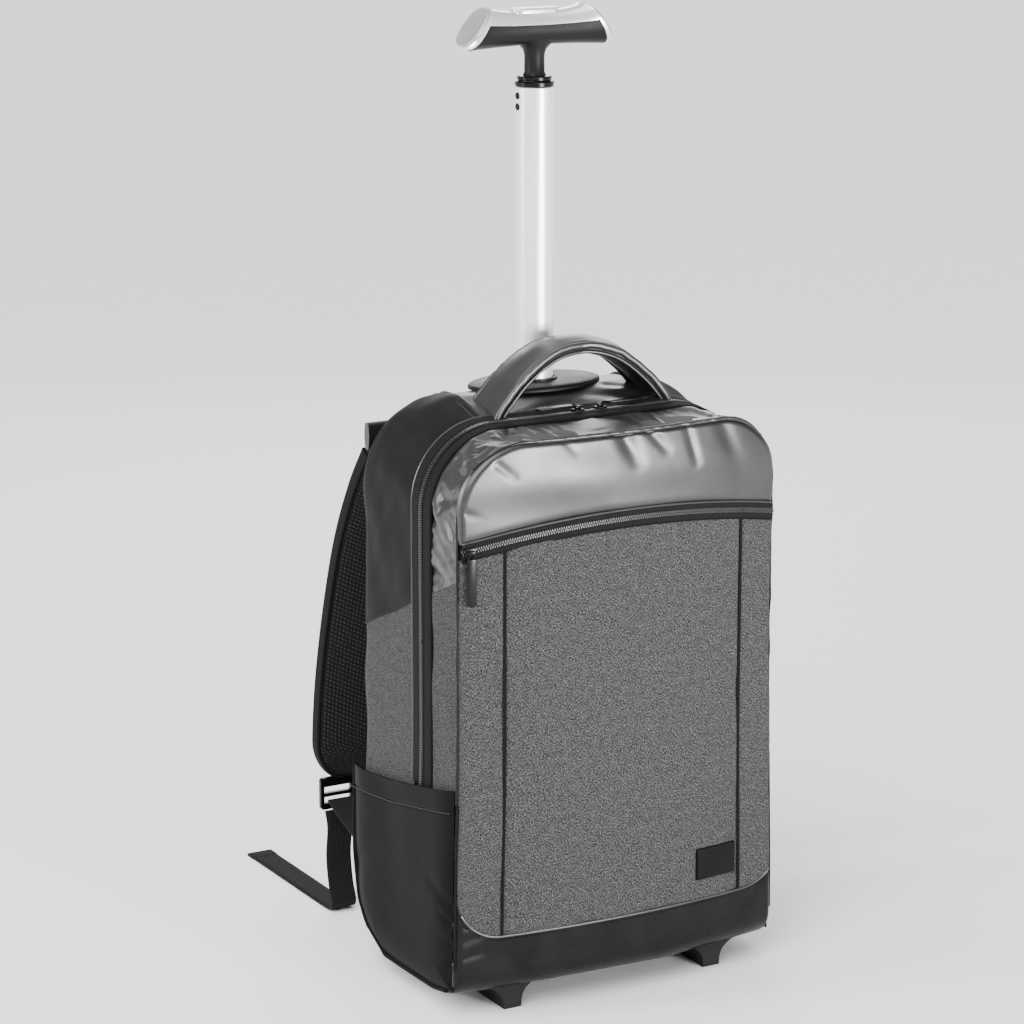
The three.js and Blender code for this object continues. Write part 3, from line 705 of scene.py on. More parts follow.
# ---------------------------------------------------------------- slack
def slacken(P, step, grow, pressure, bend=2.0, frames=26, held=1):
    """Lets a grid of cloth grow and buckle between its sewn edges, with a little pressure behind it."""
    rows = np.unique(np.append(np.arange(0, P.shape[0], step), P.shape[0] - 1))
    cols = np.unique(np.append(np.arange(0, P.shape[1], step), P.shape[1] - 1))
    coarse = P[np.ix_(rows, cols)]
    n, m = coarse.shape[:2]
    faces = [(r * m + c, r * m + c + 1, (r + 1) * m + c + 1, (r + 1) * m + c) for r in range(n - 1)
             for c in range(m - 1)]
    sheet = new_mesh("slack_sheet", coarse.reshape(-1, 3), faces, None)
    if np.mean(np.sum(grid_normals(coarse) * (coarse - CENTRE), -1)) < 0:
        sheet.data.flip_normals()
    sewn = [r * m + c for r in range(n) for c in range(m)
            if min(r, c, n - 1 - r, m - 1 - c) < held]
    group = sheet.vertex_groups.new(name="sewn")
    group.add(sewn, 1.0, "REPLACE")
    cloth_mod = sheet.modifiers.new("cloth", "CLOTH")
    c = cloth_mod.settings
    c.quality = 6
    c.mass = 0.25
    c.tension_stiffness = c.compression_stiffness = 25
    c.shear_stiffness = 6
    c.bending_stiffness = bend
    c.vertex_group_mass = "sewn"
    c.shrink_min = c.shrink_max = -grow
    c.use_pressure = True
    c.uniform_pressure_force = pressure
    c.effector_weights.gravity = 0.3
    cloth_mod.collision_settings.use_collision = False
    cloth_mod.point_cache.frame_end = frames
    scene = bpy.context.scene
    for frame_number in range(1, frames + 1):
        scene.frame_set(frame_number)
    got = sheet.evaluated_get(bpy.context.evaluated_depsgraph_get())
    flat = np.zeros(n * m * 3)
    got.data.vertices.foreach_get("co", flat)
    scene.frame_set(1)
    moved = flat.reshape(n, m, 3) - coarse
    bpy.data.objects.remove(sheet)
    return P + spread_out(spread_out(moved, rows, P.shape[0], 0), cols, P.shape[1], 1)


def spread_out(moved, marks, count, axis):
    """Cubic interpolation of displacements from marked rows or columns to all of them."""
    moved = np.moveaxis(moved, axis, 0)
    at = np.arange(count)
    i = np.clip(np.searchsorted(marks, at, side="right") - 1, 0, len(marks) - 2)
    t = ((at - marks[i]) / (marks[i + 1] - marks[i]))[:, None, None]
    a, b = moved[np.maximum(i - 1, 0)], moved[i]
    c, d = moved[i + 1], moved[np.minimum(i + 2, len(marks) - 1)]
    square, cube = 2 * a - 5 * b + 4 * c - d, 3 * b - a - 3 * c + d
    out = 0.5 * (2 * b + (c - a) * t + square * t ** 2 + cube * t ** 3)
    return np.moveaxis(out, 0, axis)


# ---------------------------------------------------------------- front
def band_top_z(x):
    """Top edge of the dark band: level in the middle, rising to the sides."""
    side = np.clip((np.abs(x) - PANEL_X) / (HALF_W - PANEL_X), 0, 1)
    return BAND_Z + (0.037 - 0.018 * (x > 0)) * (1 - np.sqrt(np.maximum(1 - side ** 2, 0)))


def build_front():
    tape_low = lambda x: zip_z(x) - 0.0068
    tape_high = lambda x: zip_z(x) + 0.0068
    P = front_patch(band_top_z, tape_low, 190, 120)
    P = soften(P, 0.0006, 0.11, 3)
    P = soften(P, 0.00025, 0.035, 4)
    N = outward(P)
    for side in (-1, 1):
        crease = np.exp(-((P[..., 0] - side * PANEL_X) / 0.0022) ** 2)
        puff = np.exp(-((P[..., 0] - side * (PANEL_X - 0.03)) / 0.03) ** 2)
        P = P - N * (0.0016 * crease - 0.0012 * puff)[..., None]
    P = dent(P, N, (-0.10, -0.16, 0.39), (-0.04, -0.16, 0.36), 0.010, 0.0012)
    P = dent(P, N, (0.05, -0.16, 0.41), (0.03, -0.16, 0.33), 0.012, 0.0010)
    P = dent(P, N, (0.117, -0.15, 0.25), (0.06, -0.16, 0.30), 0.014, 0.0012)
    P = dent(P, N, (-0.05, -0.16, 0.075), (0.0, -0.16, 0.12), 0.012, 0.0008)
    main = cloth("front_pocket_panel", P, 0.0025, HEATHER)
    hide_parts("front_pocket_lower", "front_pocket_upper")
    dress(main, "bag", "flap")
    build_band()
    build_yoke(tape_high)
    build_pocket_zip()
    for name, x in (("left", -PANEL_X), ("right", PANEL_X)):
        zs = np.linspace(BAND_Z + 0.001, float(tape_low(np.array(x))), 90)
        at = np.full_like(zs, x)
        line = flare(np.stack([at, front_y(at, zs) - 0.0002, zs], -1))
        piping = sweep(f"panel_piping_{name}", line, (0, -1, 0), rounded(0.0026, 0.0018, 0.0007, 3), BINDING)
        dress(piping, "bag", "flap")
    xs = np.linspace(-HALF_W + 0.003, HALF_W - 0.003, 160)
    P, N = raised(front_line(xs, lambda x: band_top_z(x) + 0.0004), 0.0004)
    seam = sweep("band_piping", P, N, circle(0.0011, 8), COATED)
    dress(seam, "bag")
    P, N = raised(front_line(xs, lambda x: band_top_z(x) - 0.0032), 0.0002)
    dress(stitches("band_stitches", P, N, THREAD), "bag")


def build_band():
    """Dark coated band round the toe of the case, in a copy of the coated cloth made darker with painted
    shade.
    """
    P = front_patch(lambda x: FLOOR_Z + 0.0 * x + 0.0005, band_top_z, 44, 130)
    P = soften(P, 0.0006, 0.09, 8)
    N = outward(P)
    folds = [
        ((-0.156, -0.15, 0.100), (-0.132, -0.15, 0.092), 0.0040, 0.0020),
        ((-0.156, -0.15, 0.086), (-0.138, -0.15, 0.080), 0.0034, 0.0018),
        ((-0.156, -0.15, 0.070), (-0.126, -0.15, 0.078), 0.0036, 0.0018),
        ((-0.156, -0.15, 0.056), (-0.134, -0.15, 0.060), 0.0030, 0.0015),
        ((0.156, -0.15, 0.080), (0.136, -0.15, 0.070), 0.0040, 0.0016),
    ]
    for a, b, width, depth in folds:
        P = dent(P, N, a, b, width, depth)
    band = cloth("toe_band", P, 0.0025, TOE_PAINTED_SHADE)
    dress(band, "bag")


def build_yoke(tape_high):
    """Shiny panel above the pocket zip, with the pulls and folds that its top seam makes."""
    P = front_patch(tape_high, lambda x: np.full_like(x, FRONT_TOP_Z), 110, 190)
    P = soften(P, 0.0006, 0.09, 21)
    lean = np.clip((P[..., 2] - 0.415) / 0.078, 0, 1)
    P = P + np.array([0, 0.0030, 0]) * (lean ** 1.6)[..., None]
    N = outward(P)
    P = P + N * (0.0022 * np.exp(-((P[..., 2] - 0.462) / 0.02) ** 2))[..., None]
    folds = [
        ((-0.005, -0.16, 0.4935), (0.006, -0.16, 0.470), 0.0075, 0.0030),
        ((0.020, -0.16, 0.4935), (0.036, -0.16, 0.476), 0.0050, 0.0018),
        ((0.058, -0.16, 0.4935), (0.066, -0.16, 0.462), 0.0045, 0.0020),
        ((0.095, -0.155, 0.492), (0.112, -0.15, 0.450), 0.0080, 0.0016),
        ((-0.060, -0.16, 0.4935), (-0.052, -0.16, 0.484), 0.0040, 0.0010),
        ((-0.120, -0.15, 0.478), (-0.108, -0.155, 0.468), 0.0040, 0.0012),
        ((-0.148, -0.15, 0.440), (-0.136, -0.155, 0.436), 0.0035, 0.0012),
    ]
    for a, b, width, depth in folds:
        P = dent(P, N, a, b, width, depth)
    P = P - N * (0.0012 * np.exp(-((P[..., 2] - tape_high(P[..., 0])) / 0.004) ** 2))[..., None]
    yoke = cloth("front_yoke_panel", P, 0.0022, COATED)
    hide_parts("front_yoke")
    dress(yoke, "flap")


def outline_path(inset, z_low, lift=0.0, steps=400):
    """Line round the front's outline from the left side over the top to the right, and its normals."""
    r = CORNER_R - inset
    half = HALF_W - inset
    top = FRONT_TOP_Z - inset
    left = [(-half, z) for z in np.linspace(z_low, top - r, steps // 3)]
    turn = np.linspace(0, math.pi / 2, 40)[1:]
    arc = [(-half + r - r * math.cos(a), top - r + r * math.sin(a)) for a in turn]
    across = [(x, top) for x in np.linspace(-half + r, half - r, 120)[1:-1]]
    pts = left + arc + across
    pts += [(-x, z) for x, z in reversed(left + arc)]
    xz = np.array(pts)
    P = np.stack([xz[:, 0], front_y(xz[:, 0], xz[:, 1]), xz[:, 1]], -1)
    e = 2e-4
    dx = (front_y(P[:, 0] + e, P[:, 2]) - front_y(P[:, 0] - e, P[:, 2])) / (2 * e)
    dz = (front_y(P[:, 0], P[:, 2] + e) - front_y(P[:, 0], P[:, 2] - e)) / (2 * e)
    N = unit(np.stack([dx, -np.ones_like(dx), dz], -1))
    return flare(P) + N * lift, N


def zip_run(name, path, up, body):
    """Teeth of a closed zip along a path."""
    teeth = beads(name, path, up, (0.0012, 0.0026, 0.0013), 0.0021, TEETH, (-0.0011, 0.0011), stagger=0.5)
    return dress(teeth, body)


def build_pocket_zip():
    """Arched zip of the front pocket: two tape halves under it, teeth on top."""
    xs = np.linspace(-HALF_W + 0.002, HALF_W - 0.002, 200)
    for name, low, high in (("pocket_tape_upper", 0.0012, 0.0072), ("pocket_tape_lower", -0.0072, -0.0012)):
        rows = []
        for k, t in enumerate(np.linspace(low, high, 9)):
            P, N = front_line(xs, lambda x, t=t: zip_z(x) + t)
            crown = 0.0006 + 0.0007 * math.sin(math.pi * k / 8)
            rows.append(P + N * crown)
        piece = cloth(name, np.array(rows), 0.0016, TAPE)
        if name.endswith("upper"):
            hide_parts("pocket_zip_tape")
        dress(piece, "flap")
    P, N = raised(front_line(xs, zip_z), -0.0006)
    ribbon = sweep("pocket_zip_core", P, N, rounded(0.0046, 0.0016, 0.0006, 2), TAPE)
    dress(ribbon, "flap")
    P, N = raised(front_line(xs, zip_z), 0.0002)
    zip_run("pocket_zip_teeth", P, N, "flap")
    for name, t, material in (("pocket_zip_lip", 0.0074, COATED), ("pocket_zip_hem", -0.0074, BINDING)):
        P, N = raised(front_line(xs, lambda x, t=t: zip_z(x) + t), 0.0003)
        lip = sweep(name, P, N, circle(0.0010, 8), material)
        dress(lip, "flap")


# ---------------------------------------------------------------- sides, gusset and top
def wall_patch(y0, y1, run0, run1, rows, cols, side):
    """Grid on the side and top; y0, y1 are functions of run, run0, run1 are functions of y."""
    t = np.linspace(0, 1, cols)
    s = np.linspace(0, 1, rows)[:, None]
    guess = 0.5 * (y0(np.zeros(1)) + y1(np.zeros(1)))
    run = run0(guess) + (run1(guess) - run0(guess)) * s * np.ones_like(t)
    for _ in range(3):
        y = y0(run) + (y1(run) - y0(run)) * t
        run = run0(y) + (run1(y) - run0(y)) * s
    return wall(y, run, side)


def seam_y(run):
    """Depth of the seam between the front face and the gusset, at a run along the section."""
    x = wall(np.full_like(run, -0.14), run)[..., 0]
    return FRONT_Y + bow(x) + EDGE_R


const = lambda value: (lambda q: np.full_like(np.asarray(q, float), value))
line_run = lambda y: colour_line_z(y) - shoulder_z(y)
GUSSET_Y = ZIP_Y - TAPE_W
REAR_Y = ZIP_Y + TAPE_W


def build_gusset():
    """Gusset between the front seam and the zip: heather below, creased shiny cloth above."""
    for name, side in (("left", -1), ("right", 1)):
        low = lambda y: 0.030 - shoulder_z(y)
        P = wall_patch(seam_y, const(GUSSET_Y + 0.001), low, line_run, 150, 24, side)
        P = soften(P, 0.0006, 0.05, 31 + side)
        lower = cloth(f"gusset_{name}", P, 0.002, HEATHER)
        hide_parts("lower_front_section" if side < 0 else "front_section")
        dress(lower, "bag", "flap")
        P = wall_patch(seam_y, const(GUSSET_Y + 0.001), line_run, top_run, 230, 40, side)
        slack = slacken(P, 4, 0.012, 0.2, 3.0) - P
        fade = np.clip(np.arange(len(P))[::-1] / 40, 0, 1)
        P = P + slack * (fade ** 2 * (3 - 2 * fade))[:, None, None]
        P = crumple(P, 51 + side, side)
        upper = cloth(f"gusset_upper_{name}", P, 0.002, COATED)
        dress(upper, "flap")
    P, N = outline_path(0.0, FOLD_Z + 0.001, 0.0006)
    P = P + N * (0.0005 * ripple(P, 0.02, 77))[:, None]
    piping = sweep("front_piping", P, N, circle(0.0009, 8), THREAD)
    dress(piping, "bag", "flap")
    P, N = outline_path(-0.0006, 0.440, 0.0012)
    over = (P[:, 0] > -0.108) & (P[:, 2] > 0.462)
    P, N = P[over], N[over]
    P = P + N * (0.0005 * ripple(P, 0.012, 91))[:, None]
    thin = np.minimum(np.linspace(0, 12, len(P)), np.linspace(12, 0, len(P))).clip(0.15, 1)
    lip = sweep("front_lip", P, N, np.array([circle(0.0019 * k, 10) for k in thin]), COATED)
    dress(lip, "flap")
    P, N = outline_path(0.0022, 0.412, 0.0003)
    dress(stitches("yoke_stitches", P, N, THREAD, 0.0034), "flap")
    for side in (-1, 1):
        zs = np.linspace(0.046, FOLD_Z, 60)
        x = np.full_like(zs, side * (HALF_W + 0.0002))
        y = np.full_like(zs, FRONT_Y + float(bow(np.array(HALF_W))) + EDGE_R - 0.001)
        line = flare(np.stack([x, y, zs], -1))
        name = "left" if side < 0 else "right"
        dress(sweep(f"toe_piping_{name}", line, (side, 0, 0), circle(0.0015, 8), BINDING), "bag")


def crumple(P, seed, side):
    """Creases of thin coated cloth that is eased round a corner."""
    N = outward(P)
    rng = np.random.default_rng(seed)
    for y0, z0, y1, z1, width, depth in GUSSET_FOLDS:
        P = dent(P, N, (side * HALF_W, y0, z0), (side * HALF_W, y1, z1), width, depth)
    P = P + N * (0.0004 * ripple(P, 0.045, seed))[..., None]
    rows, cols = P.shape[:2]
    for _ in range(5):
        r = int(rng.integers(6, rows - 60))
        c = int(rng.integers(0, cols // 2))
        a = P[r, c]
        b = P[min(rows - 1, r + int(rng.integers(5, 26))), min(cols - 1, c + int(rng.integers(8, 22)))]
        P = dent(P, N, a, b, rng.uniform(0.0022, 0.0045), rng.uniform(0.0008, 0.0020))
    return P


def build_sides():
    """Fixed sides behind the zip: heather below the slanting seam, dense dark cloth above it."""
    for name, side in (("left", -1), ("right", 1)):
        back = const(BACK_Y - 0.002)
        low = lambda y: 0.030 - shoulder_z(y)
        P = wall_patch(const(REAR_Y - 0.001), back, low, line_run, 110, 44, side)
        P = soften(P, 0.0008, 0.07, 61 + side)
        lower = cloth(f"side_{name}", P, 0.003, HEATHER)
        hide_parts(f"side_panel_{name}")
        dress(lower, "bag")
        seam_run = lambda y: top_run(y, SEAM_TOP_X)
        P = wall_patch(const(REAR_Y - 0.001), back, line_run, seam_run, 120, 60, side)
        P = soften(P, 0.0011, 0.09, 71 + side)
        P = soften(P, 0.0004, 0.03, 73 + side)
        upper = cloth(f"side_upper_{name}", P, 0.003, SMOOTH)
        dress(upper, "bag")
        for k, off in enumerate((0.0026, 0.0082)):
            ys = np.linspace(REAR_Y, BACK_Y - 0.012, 60)
            line = wall(ys, seam_run(ys) - off, side)
            line[:, 2] += 0.0003
            dress(stitches(f"top_seam_{name}_{k}", line, (0, 0, 1), THREAD_GREY), "bag")
        ys = np.linspace(REAR_Y, BACK_Y - 0.006, 60)
        line = wall(ys, line_run(ys), side)
        line[:, 0] += side * 0.0002
        dress(sweep(f"colour_seam_{name}", line, (side, 0, 0), circle(0.0007, 8), THREAD), "bag")


def build_top():
    """Shiny top panel between the two side seams, with folds towards the handle's roots."""
    half = SEAM_TOP_X + 0.0005
    ys = np.linspace(REAR_Y - 0.001, BACK_Y - 0.004, 80)
    xs = ease(120, 0.2) * half
    x, y = np.meshgrid(xs, ys)
    P = np.stack([x, y, case_top(y)], -1)
    P = soften(P, 0.0006, 0.05, 81)
    N = outward(P)
    for a, b, w, d in (
        ((-0.070, -0.060, 0.503), (-0.030, -0.040, 0.506), 0.007, 0.0024),
        ((-0.050, -0.062, 0.502), (0.000, -0.052, 0.504), 0.005, 0.0018),
        ((0.075, -0.060, 0.503), (0.030, -0.045, 0.506), 0.008, 0.0022),
        ((0.055, -0.030, 0.506), (0.080, -0.045, 0.504), 0.006, 0.0016),
        ((-0.065, -0.030, 0.506), (-0.040, -0.020, 0.507), 0.006, 0.0016),
    ):
        P = dent(P, N, a, b, w, d)
    top = cloth("top_cover", P, 0.003, COATED)
    punch(top, MAST_R + 0.007)
    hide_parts("top_panel")
    dress(top, "bag")
    for side in (-1, 1):
        line = np.stack([np.full_like(ys, side * half), ys, case_top(ys) + 0.0006], -1)
        name = "left" if side < 0 else "right"
        dress(sweep(f"top_piping_{name}", line, (0, 0, 1), circle(0.0013, 8), COATED), "bag")


def zip_arch(y, off=0.0, lift=0.0):
    """Line over the case at depth y from the left fold height to the right, with outward normals."""
    down = FOLD_Z + 0.0005 - float(shoulder_z(np.array(y)))
    r = float(case_corner(np.array(y + off)))
    half = np.concatenate([np.linspace(down, 0, 150), np.linspace(0, r * math.pi / 2, 60)[1:],
                           np.linspace(r * math.pi / 2, float(top_run(np.array(y + off), 0.0)), 60)[1:]])
    turn = np.clip(half / r, 0, math.pi / 2)
    left = wall(np.full_like(half, y + off), half, -1)
    normal = np.stack([-np.cos(turn), np.zeros_like(turn), np.sin(turn)], -1)
    right = left[::-1] * np.array([-1, 1, 1])
    normal_r = normal[::-1] * np.array([-1, 1, 1])
    P = np.concatenate([left, right[1:]])
    N = np.concatenate([normal, normal_r[1:]])
    return P + N * lift, N


def build_main_zip():
    """Main zip round the front: a tape half on each side of the teeth."""
    for name, low, high, body, blend_to, node in (
        ("front", -TAPE_W, -0.0014, "bag", "flap", "main_zip_tape_front"),
        ("rear", 0.0014, TAPE_W, "bag", None, "main_zip_tape_rear"),
    ):
        rows = []
        for k, off in enumerate(np.linspace(low, high, 13)):
            edge = min(k, 12 - k)
            lift = 0.0003 + 0.0010 * min(1.0, edge / 3)
            rows.append(zip_arch(ZIP_Y, off, lift)[0])
        piece = cloth(f"main_tape_{name}", np.array(rows), 0.0016, TAPE)
        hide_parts(node)
        dress(piece, body, blend_to)
        for k, off in enumerate((low if name == "front" else high, (low + high) / 2 * 0.62)):
            inset = off + (0.0022 if name == "front" else -0.0022) * (k == 0)
            P, N = zip_arch(ZIP_Y, inset, 0.0012 - 0.0006 * (k == 0))
            dress(stitches(f"main_tape_{name}_stitches_{k}", P, N, THREAD, 0.0034), body, blend_to)
        P, N = zip_arch(ZIP_Y, low if name == "front" else high, 0.0004)
        bound = BINDING if name == "front" else COATED
        edge = sweep(f"main_tape_{name}_edge", P, N, circle(0.0011, 8), bound)
        dress(edge, body, blend_to)
    P, N = zip_arch(ZIP_Y, 0.0, 0.0005)
    core = sweep("main_zip_core", P, N, rounded(0.0050, 0.0012, 0.0005, 2), TAPE)
    dress(core, "bag")
    P, N = zip_arch(ZIP_Y, 0.0, 0.0009)
    half = (0.0012, 0.0026, 0.0014)
    dress(beads("main_teeth_rear", P, N, half, 0.0021, TEETH, (-0.0012,)), "bag")
    P2 = resample(P, 0.0021)
    P2 = P2 + np.gradient(P2, axis=0) * 0.5
    here, there = np.linspace(0, 1, len(P2)), np.linspace(0, 1, len(N))
    up = np.stack([np.interp(here, there, N[:, k]) for k in range(3)], -1)
    dress(beads("main_teeth_front", P2, up, half, 0.0021, TEETH, (0.0012,)), "bag", "flap")


def build_back():
    """Padded back: a mesh-covered panel with two upright pads and a lumbar pad."""
    half = HALF_W - 0.006
    top_z = float(case_top(np.array(BACK_Y - 0.003)))
    u = ease(130)
    v = np.linspace(0, 1, 200)[:, None]
    z = BASE_TOP_Z + (top_z - BASE_TOP_Z) * v * np.ones_like(u)
    r = CORNER_R - 0.004
    rise = np.clip(z - (top_z - r), 0, r)
    x = u * (half - r + np.sqrt(r ** 2 - rise ** 2))
    inside = np.minimum(half - r + np.sqrt(r ** 2 - rise ** 2) - np.abs(x), top_z - z)
    y = BACK_Y - 0.003 - roll_off(np.maximum(inside, 0), 0.006)
    pads = sum(pad_shape(x, z, cx, 0.036, 0.27, 0.44) for cx in (-0.085, 0.085))
    pads = pads + pad_shape(x, z, 0.0, 0.11, 0.125, 0.235)
    y = y + 0.006 * np.clip(pads, 0, 1)
    P = np.stack([x, y, z], -1)
    back = cloth("back_pad", P, 0.004, MESH)
    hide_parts("back_panel")
    dress(back, "bag")
    yoke = sweep("strap_yoke_pad", [(-0.142 + 0.284 * i / 30, BACK_Y + 0.0035, 0.468) for i in range(31)],
                 (0, 1, 0), rounded(0.024, 0.007, 0.003, 4, 0.001), COATED)
    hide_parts("strap_yoke")
    dress(yoke, "bag")


def pad_shape(x, z, cx, half_w, z0, z1):
    """1 on a round-cornered pad, falling to 0 at its seam."""
    d = np.maximum(np.abs(x - cx) - half_w, np.maximum(z0 - z, z - z1))
    return 1 - np.clip((d + 0.010) / 0.010, 0, 1) ** 2


def build_bottom():
    xs = np.linspace(-HALF_W + 0.003, HALF_W - 0.003, 60)
    ys = np.linspace(FRONT_Y + 0.024, -0.001, 40)
    x, y = np.meshgrid(xs, ys)
    P = flare(np.stack([x, y + 0.6 * bow(x) * (y < -0.12), np.full_like(x, FLOOR_Z + 0.0003)], -1))
    P = P + np.array([0, 0, 0.0004]) * ripple(P, 0.05, 91)[..., None]
    bottom = cloth("bottom_cover", P, 0.003, COARSE)
    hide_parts("bottom_panel")
    dress(bottom, "bag")


def build_side_pockets():
    """Flat pouch on each side: bound at its edges, its mouth hemmed and topstitched."""
    mouth = profile([[-0.142, 0.203], [-0.090, 0.193], [-0.034, 0.183], [0.010, 0.178], [0.044, 0.176]], 0.01)
    rear = profile([
        [0.018, -0.02], [0.022, -0.012], [0.037, 0.017], [0.056, 0.031], [0.097, 0.040], [0.178, 0.043],
    ], 0.006)
    foot = profile([[-0.145, 0.026], [-0.108, 0.0195], [-0.050, 0.0185], [0.05, 0.0185]], 0.01)
    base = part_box("side_pocket_right")[0].x
    for name, side in (("left", -1), ("right", 1)):
        u = (ease(90, 0.5) + 1) / 2
        v = ((ease(110, 0.4) + 1) / 2)[:, None]
        level = 0.0185 + (0.178 - 0.0185) * v
        y0 = -0.1395 + 0.0 * v
        y = y0 + (rear(level) - y0) * u
        z = foot(y) + (mouth(y) - foot(y)) * v
        edge = np.minimum(np.minimum(y - y0, rear(level) - y), (z - foot(y)))
        puff = 1 - np.exp(-np.maximum(edge, 0) / 0.010)
        x = base + 0.0006 + 0.0042 * puff
        P = flare(np.stack([side * x, y, z], -1))
        P = soften(P, 0.0004, 0.10, 101 + side)
        P = slacken(P, 6, 0.0008, 0.02, 3.0)
        N = outward(P)
        hem = mouth(y) - z
        P = P + N * (0.0006 * (hem < 0.019) - 0.0007 * np.exp(-((hem - 0.0195) / 0.0012) ** 2))[..., None]
        for a, b, w, d in (
            ((side * x.max(), -0.138, 0.085), (side * x.max(), -0.120, 0.092), 0.004, 0.0022),
            ((side * x.max(), -0.138, 0.066), (side * x.max(), -0.124, 0.058), 0.004, 0.0020),
            ((side * x.max(), -0.138, 0.100), (side * x.max(), -0.105, 0.115), 0.006, 0.0014),
            ((side * x.max(), -0.138, 0.050), (side * x.max(), -0.128, 0.040), 0.004, 0.0018),
            ((side * x.max(), 0.030, 0.090), (side * x.max(), 0.0, 0.110), 0.012, 0.0012),
        ):
            P = dent(P, N, a, b, w, d)
        pocket = cloth(f"pocket_{name}", P, 0.0014, POCKET)
        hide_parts(f"side_pocket_{name}")
        dress(pocket, "bag")
        ys = np.linspace(-0.137, 0.040, 80)
        line = flare(np.stack([np.full_like(ys, side * (base + 0.0050)), ys, mouth(ys) - 0.0195], -1))
        dress(stitches(f"pocket_stitches_{name}", line, (side, 0, 0), THREAD_GREY), "bag")
        level = np.linspace(0.176, 0.0185, 80)
        rim = [(side * (base + 0.0012), rear(np.array(q)), q) for q in level]
        rim += [(side * (base + 0.0012), y, foot(np.array(y))) for y in np.linspace(-0.021, -0.130, 50)[1:]]
        rim = flare(resample(np.array(rim, float), 0.002))
        dress(sweep(f"pocket_piping_{name}", rim, (side, 0, 0), circle(0.0019, 8), BINDING), "bag")


# ---------------------------------------------------------------- carry handle
HANDLE_SPAN = 0.082
HANDLE_MID = (0.007, -0.0500)
HANDLE_WIDE = 0.044


def handle_path():
    """Centreline of the handle's band, from its left root over to its right one."""
    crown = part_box("carry_handle")[1].z - 0.0050
    t = np.linspace(-1.07, 1.07, 150)
    drop = 0.050 * np.abs(t) ** 2.1 + 0.08 * np.maximum(np.abs(t) - 0.98, 0)
    x = HANDLE_MID[0] + HANDLE_SPAN * t
    return np.stack([x, np.full_like(x, HANDLE_MID[1]), crown - drop], -1), np.minimum(np.abs(t), 1)


def handle_section(t):
    """Band section at a share of the way to a root: crowned above, thinner and wider at the root."""
    thick = 0.0105 - 0.0050 * t ** 4
    wide = HANDLE_WIDE - 0.006 * (1 - t) ** 2 + 0.003 * t ** 6
    return rounded(wide, thick, min(0.0040, thick * 0.45), 5, 0.0026 * (1 - t ** 4)), wide


def build_handle():
    """Padded carry handle, with a thick rolled lip and a row of stitches along each edge."""
    path, t = handle_path()
    both = [handle_section(v) for v in t]
    sections, wide = np.array([b[0] for b in both]), np.array([b[1] for b in both])
    _, S, U = frames_along(path, (0, 0, 1))
    path = path + U * (0.0002 * ripple(path, 0.03, 5))[:, None]
    handle = sweep("carry_handle_pad", path, (0, 0, 1), sections, COATED, angle=60)
    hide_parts("carry_handle")
    bend_with_handle(handle)
    for name, side in (("front", -1), ("rear", 1)):
        out = np.array([0, float(side), 0])
        line = path + out * (wide / 2 - 0.0004)[:, None] + U * 0.0014
        line = line + U * (0.0003 * ripple(path, 0.012, 6))[:, None]
        lip = sweep(f"handle_lip_{name}", line, (0, 0, 1), rounded(0.0052, 0.0060, 0.0024, 5), COATED)
        bend_with_handle(lip)
        line = path + out * (wide / 2 + 0.0010)[:, None] - U * 0.0026
        bend_with_handle(stitches(f"handle_stitches_{name}", line, (0, side, 0), THREAD, 0.0038))
        line = path + out * (wide / 2 - 0.0008)[:, None] - U * 0.0042
        lip = sweep(f"handle_hem_{name}", line, (0, 0, 1), rounded(0.0036, 0.0030, 0.0013, 4), COATED)
        bend_with_handle(lip)


def bend_with_handle(obj):
    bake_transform(obj)


# ---------------------------------------------------------------- shoulder straps
STRAP_X = 0.105
WEB_X = STRAP_X + 0.014
STRAP_ROUTE = [(48, 452), (75, 415), (104, 361), (127, 296), (145, 226), (153, 170), (154, 128)]
FIXED_WEB_ROUTE = [(46, 78), (84, 84), (122, 96), (147, 107)]
TAIL_ROUTE = [
    (152.5, 95.5), (148, 80), (151, 52), (147, 26), (141, 10), (146, 3), (160, 1.5), (200, 1.3), (322, 1.2),
]


def in_metres(route, x):
    return [(x, y / 1000, z / 1000) for y, z in route]


def build_strap(name, side):
    x = side * STRAP_X
    path = smooth_path(in_metres(STRAP_ROUTE, x), 0.0022)
    n = len(path)
    t = np.linspace(0, 1, n)
    width = 0.068 * np.ones(n)
    end = np.clip((t - 0.90) / 0.10, 0, 1)
    width = width * np.sqrt(np.maximum(1 - (end * 0.86) ** 2, 0.02))
    thick = 0.013 * (1 - 0.35 * end ** 3)
    sections = [rounded(w, h, min(0.0055, h * 0.42, w * 0.3), 4, 0.0016) for w, h in zip(width, thick)]
    _, S, U = frames_along(path, (0, 1, 0.4))
    pad = sweep(f"strap_pad_cover_{name}", path, (0, 1, 0.4), np.array(sections), MESH, angle=60)
    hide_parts(f"strap_pad_{name}")
    dress(pad, f"strap_{name}")
    edge = [path[i] + S[i] * (width[i] / 2) for i in range(n)]
    edge += [path[n - 1 - i] - S[n - 1 - i] * (width[n - 1 - i] / 2) for i in range(n)]
    edge = resample(np.array(edge), 0.003)
    ups = np.array([U[min(n - 1, int(i / len(edge) * 2 * n)) if i < len(edge) / 2 else
                      max(0, 2 * n - 1 - int(i / len(edge) * 2 * n))] for i in range(len(edge))])
    bind = sweep(f"strap_binding_{name}", edge, ups, rounded(0.0034, 0.0122, 0.0015, 3), BINDING)
    dress(bind, f"strap_{name}")
    fixed = smooth_path(in_metres(FIXED_WEB_ROUTE, side * WEB_X), 0.003)
    web = sweep(f"webbing_fixed_{name}", fixed, (0, 0, 1), rounded(0.025, 0.0017, 0.0007, 3), WEBBING)
    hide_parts(f"strap_webbing_{name}")
    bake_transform(web)
    build_tail(name, side)


